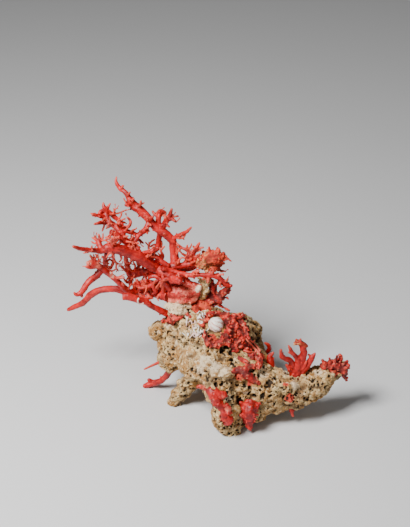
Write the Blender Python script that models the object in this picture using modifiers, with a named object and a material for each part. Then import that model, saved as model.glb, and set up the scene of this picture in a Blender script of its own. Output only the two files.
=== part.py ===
"""Red coral colony on a loose piece of porous reef rock.

Every point is laid out on a drawing sheet at natural size and then set back into
the model. The sheet leans back 30 degrees and rests on the table where the front
foot of the rock stands. A point is (right, down, back): millimetres from the
sheet's left edge, millimetres from its top edge, and depth behind the front foot.
"""

from math import cos, pi, radians, sin

import bmesh
import bpy
from mathutils import Matrix, Vector, noise
from mathutils.bvhtree import BVHTree

MM = 0.001
SHEET_LEAN = radians(30)
SHEET_MIDDLE = (205.0, 263.5)
FOOT_ON_SHEET = (230.0, 434.0)
EYE_DISTANCE = 1300.0
FAN_BACK = 92.0
FAN_SPREAD = 1.8

GAP = 0.3
FACET_ALLOWANCE = 1.1
CORAL_VOXEL = 0.7
CRUST_VOXEL = 1.0
ROCK_VOXEL = 2.0
ROCK_TRIANGLES = 2450
PATH_STEPS = 4

LUMP_HEIGHT = 3.6
LUMPS_PER_METRE = 48
KNOB_HEIGHT = 2.2
KNOBS_PER_METRE = 130
PIT_DEPTH = 3.4
PITS_PER_METRE = 85
PIT_RADIUS = 0.42
HOLLOW_REACH = 1.6

CORAL_RED = (0.72, 0.075, 0.045)
CORAL_ORANGE = (0.78, 0.20, 0.07)
ROCK_CREAM = (0.66, 0.53, 0.36)
SHELL_WHITE = (0.85, 0.80, 0.74)


def clear_scene():
    for obj in list(bpy.data.objects):
        bpy.data.objects.remove(obj, do_unlink=True)


def new_collection(name):
    collection = bpy.data.collections.new(name)
    bpy.context.scene.collection.children.link(collection)
    return collection


def material(name, colour, roughness):
    made = bpy.data.materials.new(name)
    made.use_nodes = True
    shader = made.node_tree.nodes["Principled BSDF"]
    shader.inputs["Base Color"].default_value = (*colour, 1.0)
    shader.inputs["Roughness"].default_value = roughness
    shader.inputs["Metallic"].default_value = 0.0
    return made


def on_sheet(right, down):
    """A place on the leaning sheet, in the model's millimetres."""
    up = FOOT_ON_SHEET[1] - down
    return Vector((right - FOOT_ON_SHEET[0], up * sin(SHEET_LEAN), up * cos(SHEET_LEAN)))


EYE = on_sheet(*SHEET_MIDDLE) + EYE_DISTANCE * Vector((0.0, -cos(SHEET_LEAN), sin(SHEET_LEAN)))


def sheet_to_model(right, down, back):
    """The model point at this depth that the eye sees at this place on the sheet."""
    sight = on_sheet(right, down) - EYE
    return EYE + sight * ((back - EYE.y) / sight.y)


def fanned(branches):
    """Branches of the fan, their depths spread to either side of the fan's middle."""
    return [[(right, down, FAN_BACK + (back - FAN_BACK) * FAN_SPREAD, thick)
             for right, down, back, thick in points] for points in branches]


def smooth_path(points):
    """A Catmull-Rom curve through the points of a branch, thickness included."""
    ends = [points[0], *points, points[-1]]
    path = []
    for a, b, c, d in zip(ends, ends[1:], ends[2:], ends[3:]):
        for step in range(PATH_STEPS):
            t = step / PATH_STEPS
            path.append([
                0.5 * (2 * q + (r - p) * t + (2 * p - 5 * q + 4 * r - s) * t * t
                       + (3 * q - p - 3 * r + s) * t ** 3)
                for p, q, r, s in zip(a, b, c, d)
            ])
    path.append(list(points[-1]))
    return path


def tubes(name, branches):
    """One mesh of round tubes, still overlapping, that follow the branches."""
    curve = bpy.data.curves.new(name, "CURVE")
    curve.dimensions = "3D"
    curve.bevel_depth = 1.0
    curve.bevel_resolution = 2
    curve.use_fill_caps = True
    for points in branches:
        path = smooth_path(points)
        spline = curve.splines.new("POLY")
        spline.points.add(len(path) - 1)
        for knot, (right, down, back, thick) in zip(spline.points, path):
            knot.co = (*(sheet_to_model(right, down, back) * MM), 1.0)
            knot.radius = thick / 2 * FACET_ALLOWANCE * MM
    guide = bpy.data.objects.new(name + "_guide", curve)
    bpy.context.scene.collection.objects.link(guide)
    return taken_from(guide)


def taken_from(guide):
    """The evaluated mesh of an object, welded, in place of the object."""
    graph = bpy.context.evaluated_depsgraph_get()
    mesh = bpy.data.meshes.new_from_object(guide.evaluated_get(graph))
    mesh.transform(guide.matrix_world)
    bpy.data.objects.remove(guide, do_unlink=True)
    weld(mesh)
    return mesh


def weld(mesh):
    shape = bmesh.new()
    shape.from_mesh(mesh)
    bmesh.ops.remove_doubles(shape, verts=shape.verts, dist=1e-6)
    shape.to_mesh(mesh)
    shape.free()


def with_modifier(mesh, kind, **settings):
    """The mesh after one modifier."""
    guide = bpy.data.objects.new("guide", mesh)
    bpy.context.scene.collection.objects.link(guide)
    modifier = guide.modifiers.new(kind.title(), kind)
    for key, value in settings.items():
        setattr(modifier, key, value)
    return taken_from(guide)


def fused(mesh, voxel):
    return with_modifier(mesh, "REMESH", mode="VOXEL", voxel_size=voxel * MM, adaptivity=0.0)


def thinned(mesh, triangles):
    count = sum(len(face.vertices) - 2 for face in mesh.polygons)
    ratio = min(1.0, triangles / count)
    return with_modifier(mesh, "DECIMATE", ratio=ratio, use_collapse_triangulate=True)


def grown(mesh, by):
    """The mesh pushed out along its normals, in millimetres."""
    return with_modifier(mesh, "DISPLACE", strength=by * MM, mid_level=0.0, direction="NORMAL")


def largest_body(mesh):
    """Drops the chips that a cut leaves beside the main body."""
    shape = bmesh.new()
    shape.from_mesh(mesh)
    unseen = set(shape.verts)
    bodies = []
    while unseen:
        body = {unseen.pop()}
        edge_of_body = list(body)
        while edge_of_body:
            vert = edge_of_body.pop()
            for edge in vert.link_edges:
                other = edge.other_vert(vert)
                if other in unseen:
                    unseen.remove(other)
                    body.add(other)
                    edge_of_body.append(other)
        bodies.append(body)
    bodies.sort(key=len)
    chips = [vert for body in bodies[:-1] for vert in body]
    bmesh.ops.delete(shape, geom=chips, context="VERTS")
    shape.to_mesh(mesh)
    shape.free()


def cut_away(mesh, cutter_mesh):
    """The mesh less the cutter."""
    cutter = bpy.data.objects.new("cutter", cutter_mesh)
    cutter.hide_render = True
    cutter.display_type = "WIRE"
    CUTTERS.objects.link(cutter)
    cut = with_modifier(mesh, "BOOLEAN", operation="DIFFERENCE", solver="EXACT", object=cutter)
    bpy.data.objects.remove(cutter, do_unlink=True)
    largest_body(cut)
    return cut


def add_part(name, mesh, finish):
    obj = bpy.data.objects.new(name, mesh)
    mesh.name = name
    mesh.materials.clear()
    mesh.materials.append(finish)
    MODEL.objects.link(obj)
    return obj


def coral(name, branches, triangles, beside=(), voxel=CORAL_VOXEL, finish=None):
    """A coral branch: fused tubes, cut back from the parts that it stands beside."""
    mesh = thinned(fused(tubes(name, branches), voxel), triangles)
    for neighbour in beside:
        mesh = cut_away(mesh, grown(MODEL.objects[neighbour].data.copy(), GAP))
    return add_part(name, mesh, finish or RED)


def lobe(shape, centre, radii):
    """An ellipsoid of rock; its centre is on the sheet and its radii are in model axes."""
    place = Matrix.Translation(sheet_to_model(*centre) * MM)
    scale = Matrix.Diagonal((*(radius * MM for radius in radii), 1.0))
    bmesh.ops.create_icosphere(shape, subdivisions=3, radius=1.0, matrix=place @ scale)


ROCK_LOBES = (
    ((181, 310, 84), (16, 20, 11)),
    ((200, 312, 84), (15, 20, 10)),
    ((163, 330, 78), (13.5, 15, 10)),
    ((171, 354, 66), (15, 19, 18)),
    ((182, 340, 76), (20, 22, 20)),
    ((206, 331, 64), (32, 31, 21)),
    ((205, 330, 94), (38, 24, 24)),
    ((234, 333, 68), (22, 26, 17)),
    ((254, 331, 86), (9.5, 14, 10)),
    ((210, 360, 44), (33, 31, 22)),
    ((243, 367, 42), (27, 28, 20)),
    ((240, 355, 78), (27, 24, 24)),
    ((256, 386, 30), (20, 20, 18)),
)

ROCK_LIMBS = (
    ((217, 376, 20, 36), (220, 390, 12, 30), (225, 406, 6, 29), (228, 420, 6, 27), (230, 433, 6, 22)),
    ((202, 366, 52, 20), (193, 378, 51, 16), (185, 389, 51, 17), (178.5, 399, 51, 16), (176, 408, 51, 12)),
    ((250, 384, 32, 40), (270, 391, 28, 42), (288, 391, 28, 38), (304, 387, 30, 31), (317, 380, 34, 26),
     (329, 375, 38, 24), (338, 371, 41, 19), (344, 370, 43, 10)),
    ((256, 390, 24, 28), (252, 406, 20, 30), (251, 420, 18, 24)),
    ((238, 384, 18, 26), (240, 396, 16, 20), (243, 408, 16, 16)),
    ((244, 360, 74, 44), (250, 376, 80, 30), (253, 392, 86, 24), (254, 412, 86, 20)),
)

ROCK_HOLLOWS = (
    ((233.5, 400.5, 8), 6.5, 9.0),
    ((267.5, 385, 12), 5.0, 7.0),
    ((288.6, 375, 18), 5.5, 6.0),
    ((281, 394, 10), 4.0, 5.0),
    ((192, 343, 44), 6.0, 5.0),
    ((166, 314, 68), 6.0, 5.0),
    ((172, 338, 58), 6.0, 6.0),
    ((222, 350, 22), 8.0, 4.0),
    ((204, 380, 22), 7.0, 6.0),
    ((243, 392, 12), 6.0, 7.0),
    ((300, 377, 22), 3.5, 4.0),
    ((316, 376, 28), 3.5, 4.0),
    ((233, 382, 12), 5.0, 4.0),
    ((262, 404, 12), 5.0, 4.0),
)


def rock_relief(point, hollows):
    """How far the rock's skin stands out at a point: lumps, knobs, pits and the hollows."""
    lumps = LUMP_HEIGHT * noise.fractal(point * LUMPS_PER_METRE, 0.7, 2.2, 3)
    from_pit = noise.voronoi(point * PITS_PER_METRE)[0][0]
    pits = PIT_DEPTH * max(0.0, 1.0 - from_pit / PIT_RADIUS)
    knobs = KNOB_HEIGHT * noise.noise(point * KNOBS_PER_METRE)
    relief = lumps - pits + knobs
    for centre, width, depth in hollows:
        near = (point - centre).length / (width * MM * HOLLOW_REACH)
        relief -= depth * max(0.0, 1.0 - near ** 2) ** 1.5
    return relief


def rock():
    """Porous reef rock: lobes and limbs fused, roughened, hollowed and cut flat where it stands."""
    shape = bmesh.new()
    for centre, radii in ROCK_LOBES:
        lobe(shape, centre, radii)
    limbs = tubes("rock_limbs", ROCK_LIMBS)
    shape.from_mesh(limbs)
    mesh = bpy.data.meshes.new("rock")
    shape.to_mesh(mesh)
    shape.free()
    mesh = fused(mesh, ROCK_VOXEL)
    hollows = [(sheet_to_model(*centre) * MM, width, depth) for centre, width, depth in ROCK_HOLLOWS]
    shape = bmesh.new()
    shape.from_mesh(mesh)
    bmesh.ops.smooth_vert(shape, verts=shape.verts, factor=0.5,
                          use_axis_x=True, use_axis_y=True, use_axis_z=True)
    shape.normal_update()
    moved = [vert.co + vert.normal * rock_relief(vert.co, hollows) * MM for vert in shape.verts]
    for vert, place in zip(shape.verts, moved):
        vert.co = place
    shape.to_mesh(mesh)
    shape.free()
    mesh = thinned(fused(mesh, ROCK_VOXEL), ROCK_TRIANGLES)
    floor = bpy.data.meshes.new("floor_cutter")
    shape = bmesh.new()
    bmesh.ops.create_cube(shape, size=1.0, matrix=Matrix.Translation((0.0, 0.0, -0.5)))
    shape.to_mesh(floor)
    shape.free()
    return add_part("rock", cut_away(mesh, floor), CREAM)


def depth_of_rock(right, down, past_edge=None):
    """The depth at which the eye meets the rock here, or the one given past its edge."""
    place = ROCK_SKIN.ray_cast(EYE * MM, (on_sheet(right, down) - EYE).normalized())[0]
    return past_edge if place is None else place.y / MM


def on_rock(paths):
    """Paths of (right, down, proud, thick) as branches that stand this proud of the rock's skin."""
    branches = []
    for path in paths:
        depth = None
        points = []
        for right, down, proud, thick in path:
            depth = depth_of_rock(right, down, depth)
            points.append((right, down, depth - proud, thick))
        branches.append(points)
    return branches


def barnacle(name, right, down, width, height, ribs, tilt):
    """A ribbed shell cone with a closed top, standing out of the rock."""
    shape = bmesh.new()
    bmesh.ops.create_uvsphere(shape, u_segments=2 * ribs, v_segments=8, radius=1.0)
    for vert in shape.verts:
        turn = round((vert.co.to_2d().angle_signed(Vector((1, 0)), 0.0) % (2 * pi)) / (pi / ribs))
        reach = 1.0 if turn % 2 else 0.9
        vert.co.x *= reach * width / 2 * MM
        vert.co.y *= reach * width / 2 * MM
        vert.co.z *= height / 2 * MM
    centre = sheet_to_model(right, down, depth_of_rock(right, down))
    place = Matrix.Translation(centre * MM) @ Matrix.Rotation(tilt, 4, "X")
    bmesh.ops.transform(shape, matrix=place, verts=shape.verts)
    mesh = bpy.data.meshes.new(name)
    shape.to_mesh(mesh)
    shape.free()
    mesh = cut_away(mesh, grown(MODEL.objects["rock"].data.copy(), GAP))
    return add_part(name, mesh, WHITE)


TRUNK = (
    ((184, 307, 84, 16), (184, 297, 86, 15), (180, 289, 88, 11), (172, 280, 90, 10), (163, 271.5, 92, 9.5),
     (155, 267, 92, 9)),
    ((166, 272, 92, 9), (171, 268, 94, 8.5), (175, 264, 97, 8)),
    ((158, 269, 90, 8), (164, 273.5, 84, 7.5), (171, 277.4, 78, 7.2), (179.5, 281, 68, 7)),
    ((168, 294, 82, 9), (176, 292.5, 80, 13), (186, 292.5, 79, 13), (196, 293, 80, 9)),
    ((170, 300, 80, 8), (182, 299, 76, 9), (193, 299, 78, 8)),
    ((194, 293, 80, 6), (198.5, 289, 80, 6)),
    ((200, 289, 81, 8), (192, 286, 83, 9), (183, 287, 85, 9)),
    ((167, 295, 84, 8), (166.5, 287, 87, 7), (163.5, 279, 90, 7), (159, 272, 92, 7)),
    ((190, 287, 84, 7), (186, 280, 88, 6), (180, 275, 91, 6)),
)

SPIRE_BRANCH = (
    ((175, 263, 95, 8.4), (174, 254, 97, 7.4), (173.2, 246.5, 98, 7.2), (172.5, 241, 98.5, 7.2),
     (166.5, 234.6, 99, 7.4), (161.5, 231, 99.5, 7.2), (156.5, 228, 100, 7), (152.3, 223.6, 100.5, 6.8),
     (149.3, 219.5, 101, 7), (143, 213, 103, 7.6), (138.5, 209, 104, 8), (134, 205.5, 105, 8.2),
     (130.5, 200.5, 106, 6.2), (128, 196, 107, 5), (125, 192, 108, 4.2), (120, 188.2, 110, 3.8),
     (117, 184, 111, 3.2), (116, 180.5, 112, 2.6), (116.5, 177.3, 113, 1.8)),
    ((130.5, 203.5, 104, 5), (126.4, 204.9, 101, 3.2)),
    ((121.5, 189, 109, 2.6), (123.6, 185.4, 107, 1.6)),
    ((127.5, 195.5, 106, 2.8), (129.8, 192.4, 104, 1.6)),
    ((131.5, 201.5, 105, 3), (133.8, 198.6, 103, 1.8)),
    ((138.8, 207, 103, 2.8), (140.2, 204.6, 101, 2.2), (141, 201, 100, 1.6)),
    ((140, 205, 101, 2), (143.9, 203, 101, 1.6)),
    ((149.5, 220, 100, 5), (152.8, 216.4, 98, 2.4)),
    ((160.5, 231.5, 100, 5.5), (159, 238, 101, 5), (158.4, 243, 101, 4.8), (157, 248.5, 100, 4.6),
     (152, 252.3, 98, 4.4), (146.5, 254.6, 97, 3.4)),
    ((173.5, 238.5, 98, 4), (177, 236.3, 97, 3.6), (181.4, 234, 95, 3.2), (185.5, 232.4, 93, 3),
     (188.5, 230, 92, 2.6), (191, 227.6, 91, 2)),
    ((176, 237.5, 97, 2.4), (180, 238.2, 95, 2), (184.5, 236.6, 94, 1.8), (185.8, 232.8, 93, 1.6)),
)

CROWN_BRANCH = (
    ((158.5, 229.5, 101, 5.6), (158.3, 222, 102, 5), (158.8, 216.5, 103, 4.6), (160, 212.5, 104, 4.2)),
    ((158.8, 217, 103, 3.4), (155, 214.6, 104, 2.6), (152.8, 211.4, 105, 1.8)),
    ((160, 213, 104, 3.4), (165, 212.2, 105, 2.6), (164.6, 217.4, 104, 1.8)),
    ((156.6, 213.4, 105, 2.4), (160, 209.8, 106, 2.2), (163.8, 211, 107, 1.8)),
    ((161.5, 229, 100, 5.6), (165.8, 221.6, 98, 5), (169.4, 216.5, 96, 4.4), (170.8, 212.5, 95, 3.4),
     (171.6, 209.2, 94, 2.2)),
    ((169.5, 217.5, 96, 3.6), (173, 219.6, 95, 3), (175.7, 221.8, 94, 2)),
    ((165.8, 224, 98, 3), (169.2, 227, 97, 2)),
)

CROSS_BRANCH = (
    ((149.2, 220, 101, 5), (147.6, 225.5, 99, 4.6), (144.6, 230.4, 97, 4.6), (138.8, 234.8, 95, 4.6),
     (136, 239.8, 93.5, 4.2), (134, 244.4, 92.5, 2.8)),
    ((145, 230.4, 97, 2.4), (147.6, 233.6, 96, 1.5)),
    ((146.4, 228, 98, 2.4), (149.8, 231.2, 97, 1.5)),
)

GREAT_BRANCH = (
    ((159, 269, 91.8, 8), (153, 266, 91, 10.2), (146, 261.6, 89.5, 9.8), (138.8, 256.8, 88, 9.6),
     (130, 253, 86.5, 9.2), (121, 249.8, 85, 8.8), (114, 248.6, 84, 8.8), (107.5, 248.4, 83, 8.8)),
    ((106, 249.6, 83, 6), (100.4, 251, 82, 5), (95.5, 250.4, 80, 4.4), (88.6, 249.8, 77, 4),
     (80.6, 248.8, 73, 3.6), (73.4, 246.6, 69, 2.4)),
    ((91.9, 249.6, 78, 2.4), (91.7, 246.2, 77, 1.6)),
    ((102, 250.6, 83, 5.4), (100, 246, 85, 5.2), (98.6, 241.4, 87, 4.8)),
    ((98.4, 241.6, 87, 3), (95.6, 239.4, 88, 2.4), (92.4, 237.6, 89, 1.6)),
    ((98.8, 241, 87, 3), (99.4, 237.6, 88, 2.4), (98.4, 234.4, 89, 1.6)),
    ((99.6, 240.6, 87, 2.6), (102.6, 238.2, 88, 2), (103, 233.8, 89, 1.5)),
    ((112.4, 246.8, 82, 3.4), (111.2, 241.8, 81, 2.4), (112.4, 237.8, 80, 1.6)),
    ((106.6, 252.5, 84, 3.8), (104.8, 260.6, 86, 3.4), (104.4, 266.6, 88, 3)),
    ((105, 262, 86, 2.2), (110, 259.6, 88, 2), (113.4, 262.8, 89, 1.8), (111.6, 267.4, 89, 1.8)),
)

UPPER_LEFT_BRANCH = (
    ((131.6, 254, 87, 6.6), (130, 247.6, 90, 6.4), (127.5, 243, 92, 6.2), (123, 237, 92.5, 6.2),
     (120, 231.5, 94, 6), (115, 226.3, 96, 5.6), (108.6, 221.2, 98, 5.4), (106, 215, 100, 5),
     (105, 209, 102, 4.6)),
    ((110.2, 231.2, 88, 4.6), (117.5, 235.6, 89, 5.2), (123.8, 240.4, 90, 5.4), (128, 244.5, 91, 5.4)),
    ((105.4, 209.5, 102, 4.2), (103.6, 206, 103, 3), (103.2, 203.2, 104, 1.8)),
    ((105.8, 209, 102, 3.6), (108.2, 207.2, 103, 2.8), (110, 203.8, 104, 1.7)),
    ((104.8, 210.8, 101, 4.6), (101.6, 211.2, 100, 3.8), (99.6, 213, 99, 3)),
    ((106.3, 216.5, 100, 4), (102, 216.4, 98, 3.6), (97.5, 215.4, 96, 3.4), (92.7, 214.4, 94, 2.4)),
    ((108, 221.6, 98, 4), (104, 222.6, 97, 3.8), (99.5, 222.8, 95, 3.4), (94.7, 223.9, 93, 2.2)),
    ((108.6, 214.6, 101, 2.6), (113.5, 213.8, 102, 2), (118.6, 213, 103, 1.7), (125, 210.2, 104, 1.4)),
    ((107, 210.5, 102, 4.2), (112.5, 215.4, 103, 4.2), (117.4, 219.4, 103, 4), (121.5, 224, 102, 3.8),
     (121.6, 229.4, 98, 3.8)),
    ((123, 227.4, 101, 2.8), (128.4, 226.6, 101, 2.8), (130.6, 222.6, 101, 2.6), (129.6, 219.6, 102, 2.2),
     (127.4, 217.5, 103, 1.7)),
    ((121, 231.4, 94, 4.2), (126, 231, 94.5, 4), (131, 232.4, 95, 3.8), (137, 234.6, 95.5, 3.4)),
)

MIDDLE_BRANCH = (
    ((162, 271, 92.8, 6), (156, 269.5, 95, 8), (148.4, 272.2, 97, 7.4), (140.4, 272.6, 98, 7),
     (133, 274.8, 99, 7), (129.4, 273.4, 99, 6), (127.2, 266, 100, 5), (126, 259.5, 101, 4.2)),
    ((130.6, 274.6, 98, 4.6), (130.8, 280, 98, 4.2), (130.6, 284, 98, 3.6)),
    ((144, 273, 97, 3), (146, 277.6, 96, 2)),
)

LOWER_LEFT_BRANCH = (
    ((138, 291.8, 90.2, 4.4), (133.5, 292.4, 87.8, 5.4), (129, 292.4, 86, 5.6), (125.6, 289, 86, 5.4),
     (121.2, 284.6, 85, 5.2), (116, 279.8, 84, 5), (109.4, 274.2, 83, 5), (103.4, 269.8, 81, 5.4),
     (97.4, 265.6, 79, 6), (91.5, 263.4, 77, 5), (88.4, 263, 76, 3.6)),
    ((95, 266.8, 78, 4), (90, 267, 76, 3.6), (86.6, 266.8, 75, 2.4)),
    ((96.4, 263, 79, 3.8), (93.4, 259.4, 78, 2.8), (91, 256.6, 77, 2.2), (89, 254.2, 76, 1.6)),
    ((97.6, 262.8, 79, 3), (99.6, 259.6, 79, 2.2), (101, 256.2, 79, 1.6)),
    ((114.6, 277.8, 84, 2.8), (119, 277.8, 82, 2.2), (123.6, 277.4, 81, 1.8)),
)

LOWER_LEFT_FORK = (
    ((101, 270.6, 80.5, 6), (96.4, 275.8, 79, 6), (91.4, 279.6, 77, 5.8), (86.8, 284, 75, 5.6),
     (84, 289, 73, 5.2), (80.4, 293.2, 71, 4.6), (76.6, 294.6, 70, 3.6), (74.4, 293.2, 69.5, 2.4)),
    ((81, 292.6, 71.5, 3.6), (81.8, 296, 71, 2.4)),
)

LONG_LOWER_BRANCH = (
    ((139, 291.6, 90.6, 5), (134, 293, 92.2, 6.2), (129, 293.4, 93, 6.4), (121, 290.2, 94, 6.2),
     (114, 288.8, 95, 6), (105.9, 289.2, 97, 6), (97, 291.2, 98, 6.2), (90.4, 295, 99, 6.4),
     (86.4, 299.8, 100, 5.6), (81, 304, 101, 5.2), (74.6, 306.8, 102, 4.8), (68.4, 309.6, 102.5, 3.2)),
)

TANGLE = (
    ((168, 297, 84, 9), (158, 294, 89, 8), (150, 292, 91, 8), (142, 290.6, 91, 8), (134, 291.6, 90, 7)),
    ((162, 290, 89, 6), (156, 284.6, 91, 5.5), (149, 282.6, 92, 5), (141, 283, 92, 5), (136, 287.6, 92, 5)),
    ((150, 290, 90, 4.5), (148, 284, 90, 4)),
    ((163.4, 296, 85, 3.4), (163.2, 290, 84, 3), (162.3, 285, 83, 2)),
    ((141, 291, 88, 4.5), (139, 285, 88, 4), (137, 280.4, 88, 2.4)),
    ((156, 292, 86, 4), (153, 286, 85, 3), (155, 281, 85, 2)),
)

BROKEN_BRANCH = (
    ((122.4, 296.8, 70, 6.4), (128, 296.6, 70.5, 7), (134, 298.2, 71.5, 6.8), (140, 300.4, 73, 6.2),
     (145.6, 301.8, 75, 5.8), (151, 305.4, 77, 5.6), (158, 309, 79, 5.8), (170, 315, 84, 7)),
)

RIGHT_LOWER_BRANCH = (
    ((162, 268.6, 86, 4.6), (171, 270.8, 87, 4.2), (181.2, 273.4, 86, 4.2), (191.4, 275.4, 85, 4.2),
     (198, 274.8, 84.5, 4), (205, 275, 84, 4.2), (211.5, 275.4, 84, 4.4), (217, 277, 84, 4.4),
     (222.6, 280.4, 84, 4), (226, 284.4, 84, 3.8), (231, 285.6, 85, 2.8)),
)

RIGHT_UPPER_BRANCH = (
    ((170, 266.4, 93, 6.4), (178.7, 266.4, 92, 6), (186, 265, 92, 5.8), (191.4, 263.8, 92, 5.4),
     (197, 262.6, 92, 4.8)),
    ((176, 267.6, 94, 4.6), (184, 269.4, 96, 4.4), (192, 268.4, 97, 4.2), (196, 266, 96, 4)),
    ((184, 265, 92, 4), (187.6, 258.6, 93, 3.8), (189.2, 253.4, 94, 3.6), (186, 249.6, 95, 3),
     (181.4, 247.6, 96, 2.6), (176.6, 243.4, 97, 1.8)),
    ((185.8, 249.6, 95, 2.4), (187.5, 245.3, 94, 1.6)),
    ((189.6, 261.5, 93, 4.2), (193.4, 253.4, 92, 3.8), (196.4, 248.2, 91, 3.2), (199.4, 242.8, 90, 1.8)),
    ((196.2, 248.6, 91, 2.6), (203, 247.5, 90, 1.7)),
)

SPONGY_CLUSTER = (
    ((199.5, 265, 92, 9), (203, 262, 91, 11), (209, 258, 91, 12), (215, 257, 90, 11), (220, 258, 90, 8)),
    ((204, 267, 92, 8), (212, 266, 92, 9), (218, 264, 92, 9)),
    ((209, 255, 91, 5), (209.2, 251, 91, 2.8), (209.3, 247.6, 91, 1.6)),
    ((216, 254, 90, 6), (218, 250.4, 90, 4)),
    ((221, 257, 90, 5), (224, 253.8, 90, 3)),
    ((220, 259.6, 90, 4), (224, 258.2, 90, 3), (227.4, 258.6, 89, 2.4), (231, 261.4, 88, 1.6)),
    ((216, 267, 92, 4), (221, 271, 92, 3), (228, 269.8, 91, 1.8)),
)

LOOP_CLUSTER = (
    ((208, 306, 84, 13), (212, 297, 89, 10), (213, 289, 90, 8), (211, 282, 91, 6)),
    ((217, 297, 88, 8), (223, 292, 88, 5), (226, 288.6, 90, 4)),
    ((224, 292, 87, 3.6), (229, 293.4, 86, 2)),
    ((219, 298, 87, 5), (223.6, 299, 86, 2.6)),
    ((214, 302, 83, 4), (222, 306.4, 82, 2.2), (229.4, 310.6, 80, 1.5)),
)

SPONGE_BLOB = (
    ((194, 302, 3, 9), (199, 304.5, 3, 11), (203.5, 306, 3, 9)),
    ((195, 304, 3, 8), (196, 309, 2, 8)),
)

LEG_BRANCH = (
    ((180, 364, 70, 8), (170.6, 369.6, 71, 5.8), (166.5, 375.6, 74, 5.4), (159.6, 381.4, 77, 5.2),
     (153, 383, 80, 5.4), (148.6, 384.6, 80, 5), (145, 385.8, 80, 3.6)),
    ((153, 382.4, 80, 4.4), (149, 380, 80, 3)),
)

LEG_TWIG = (
    ((164, 360, 66, 3.4), (152, 365.6, 60, 2.4), (144.4, 369.2, 56, 1.6)),
)

HOOK_TWIG = (
    ((254, 355, 72, 5), (262, 352.8, 72, 4.4), (266.6, 352.2, 71, 4.2), (269.4, 348.6, 70, 4),
     (268.2, 345, 69, 3.4), (265, 343, 68, 2)),
)

CONE_TWIG = (
    ((271, 370, 44, 9), (270.4, 361.5, 45, 7.4), (270, 356.6, 46, 5), (272.9, 353, 46, 2.4)),
)

ARM_SPRIG = (
    ((296, 376, 34, 11), (297.6, 366.6, 34, 8.4), (302, 358.4, 34, 6.2), (303.8, 352, 34, 5.4),
     (302.6, 346.4, 33, 5)),
    ((295.6, 340.6, 32, 2.8), (299.5, 342.6, 32.5, 4.6), (303, 344.6, 33, 5), (306.6, 346.4, 33, 2.8)),
    ((300, 343, 32, 3.2), (300.6, 339.2, 31, 2)),
    ((295, 371, 34, 6), (292.4, 364.8, 32, 4.6), (289.8, 360.4, 31, 4), (284.6, 358.4, 29, 3.8),
     (281.6, 355.6, 28, 3.6), (281, 350.4, 27, 2.2)),
    ((299.4, 363, 32, 4.4), (296.4, 357.4, 31, 3.8), (292.6, 352.4, 30, 3.2), (288.8, 346.2, 29, 1.8)),
    ((293, 354, 30, 3), (289.6, 352.4, 30, 2)),
)

ARM_HORN = (
    ((301, 372, 34, 8), (306.6, 366, 34, 6.4), (310.4, 360.4, 34, 5.6), (312.6, 356.6, 34, 4.8),
     (314.8, 353.8, 34, 2.6)),
    ((312, 357.6, 34, 3.6), (308.6, 354.6, 34, 2)),
)

ARM_TIP_SPRIG = (
    ((321, 366, 1, 6), (326, 366, 1, 8), (333, 366, 1, 9), (340, 367, 1, 9), (344, 371, 1, 8),
     (344, 376, 2, 5), (346, 380, 3, 2.8)),
    ((334, 366, 2, 6), (335.6, 361, 2, 4), (337, 356, 2, 2)),
    ((342, 368, 2, 6), (344.6, 364.4, 2, 4), (347.3, 361, 2, 2.2)),
    ((326, 367, 2, 6), (324.4, 363, 2, 4), (322.4, 360, 2, 2.4)),
    ((331, 367, 2, 5), (329.4, 358.6, 2, 2)),
)

RED_KNOB = (
    ((250, 402, -3, 12), (249, 411, 1, 15), (248.4, 418, 3, 12), (249.4, 424, 5, 7), (249.6, 428.2, 7, 3)),
    ((245, 408, 1, 8), (240.6, 403, 3, 3)),
    ((254, 408, 1, 8), (259.4, 403.6, 3, 3)),
    ((245, 414, 3, 6), (240.6, 415, 5, 2.4)),
    ((253, 414, 3, 6), (257.6, 414.6, 5, 2.4)),
)

FOOT_CORAL = (
    ((208, 388.6, 0, 7), (213, 394, 0, 10), (217, 401, 0, 10), (222, 407.6, 0, 7), (229, 412.4, 0, 5)),
    ((214, 391, 0, 8), (222, 395, 0, 8)),
    ((224, 409, 0, 6), (225, 416, 0, 8), (229, 420, 0, 8), (226.4, 422.6, 0, 6)),
)

RIDGE_CORAL = (
    ((232, 373, 1, 3.6), (238.5, 370, 1, 7), (244, 372.6, 1, 8), (249.6, 377, 1, 7), (254.8, 381, 1, 6),
     (258.6, 383.4, 1, 3)),
    ((243, 371, 1, 6), (251, 366.4, 1, 5), (256, 365.8, 1, 3)),
)

FIELD_CORAL = (
    ((222, 314.6, 1, 7), (228, 319, 1, 8), (233, 326, 1, 9), (230, 333, 1, 9), (223, 340, 1, 8),
     (214, 345, 1, 7), (207, 341, 1, 6), (205, 334, 1, 4)),
    ((234, 326, 1, 8), (240, 333, 1, 8), (245, 341, 1, 7), (249, 349, 1, 5)),
    ((229, 320, 1, 7), (237, 318.4, 1, 7), (242, 315.6, 1, 5)),
    ((231, 334, 1, 7), (237, 343, 1, 7), (232, 348, 1, 4)),
    ((208, 315, 1, 5), (214, 314, 1, 5), (222, 315, 1, 5)),
    ((236, 328, 1, 5), (233, 322, 6, 4), (236, 316, 9, 2.4)),
    ((226, 336, 1, 5), (229, 330, 6, 4), (226, 326, 8, 2.4)),
    ((244, 340, 1, 5), (247, 335, 5, 4), (246, 330, 7, 2.4)),
)

UNDER_TWIGS = (
    ((287, 396, 20, 5), (289.4, 404, 18, 4.2), (293, 416, 15, 2.6)),
    ((289, 402, 19, 3), (294, 403.6, 18, 2.6), (298.4, 407.4, 17, 1.8)),
)


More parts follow.
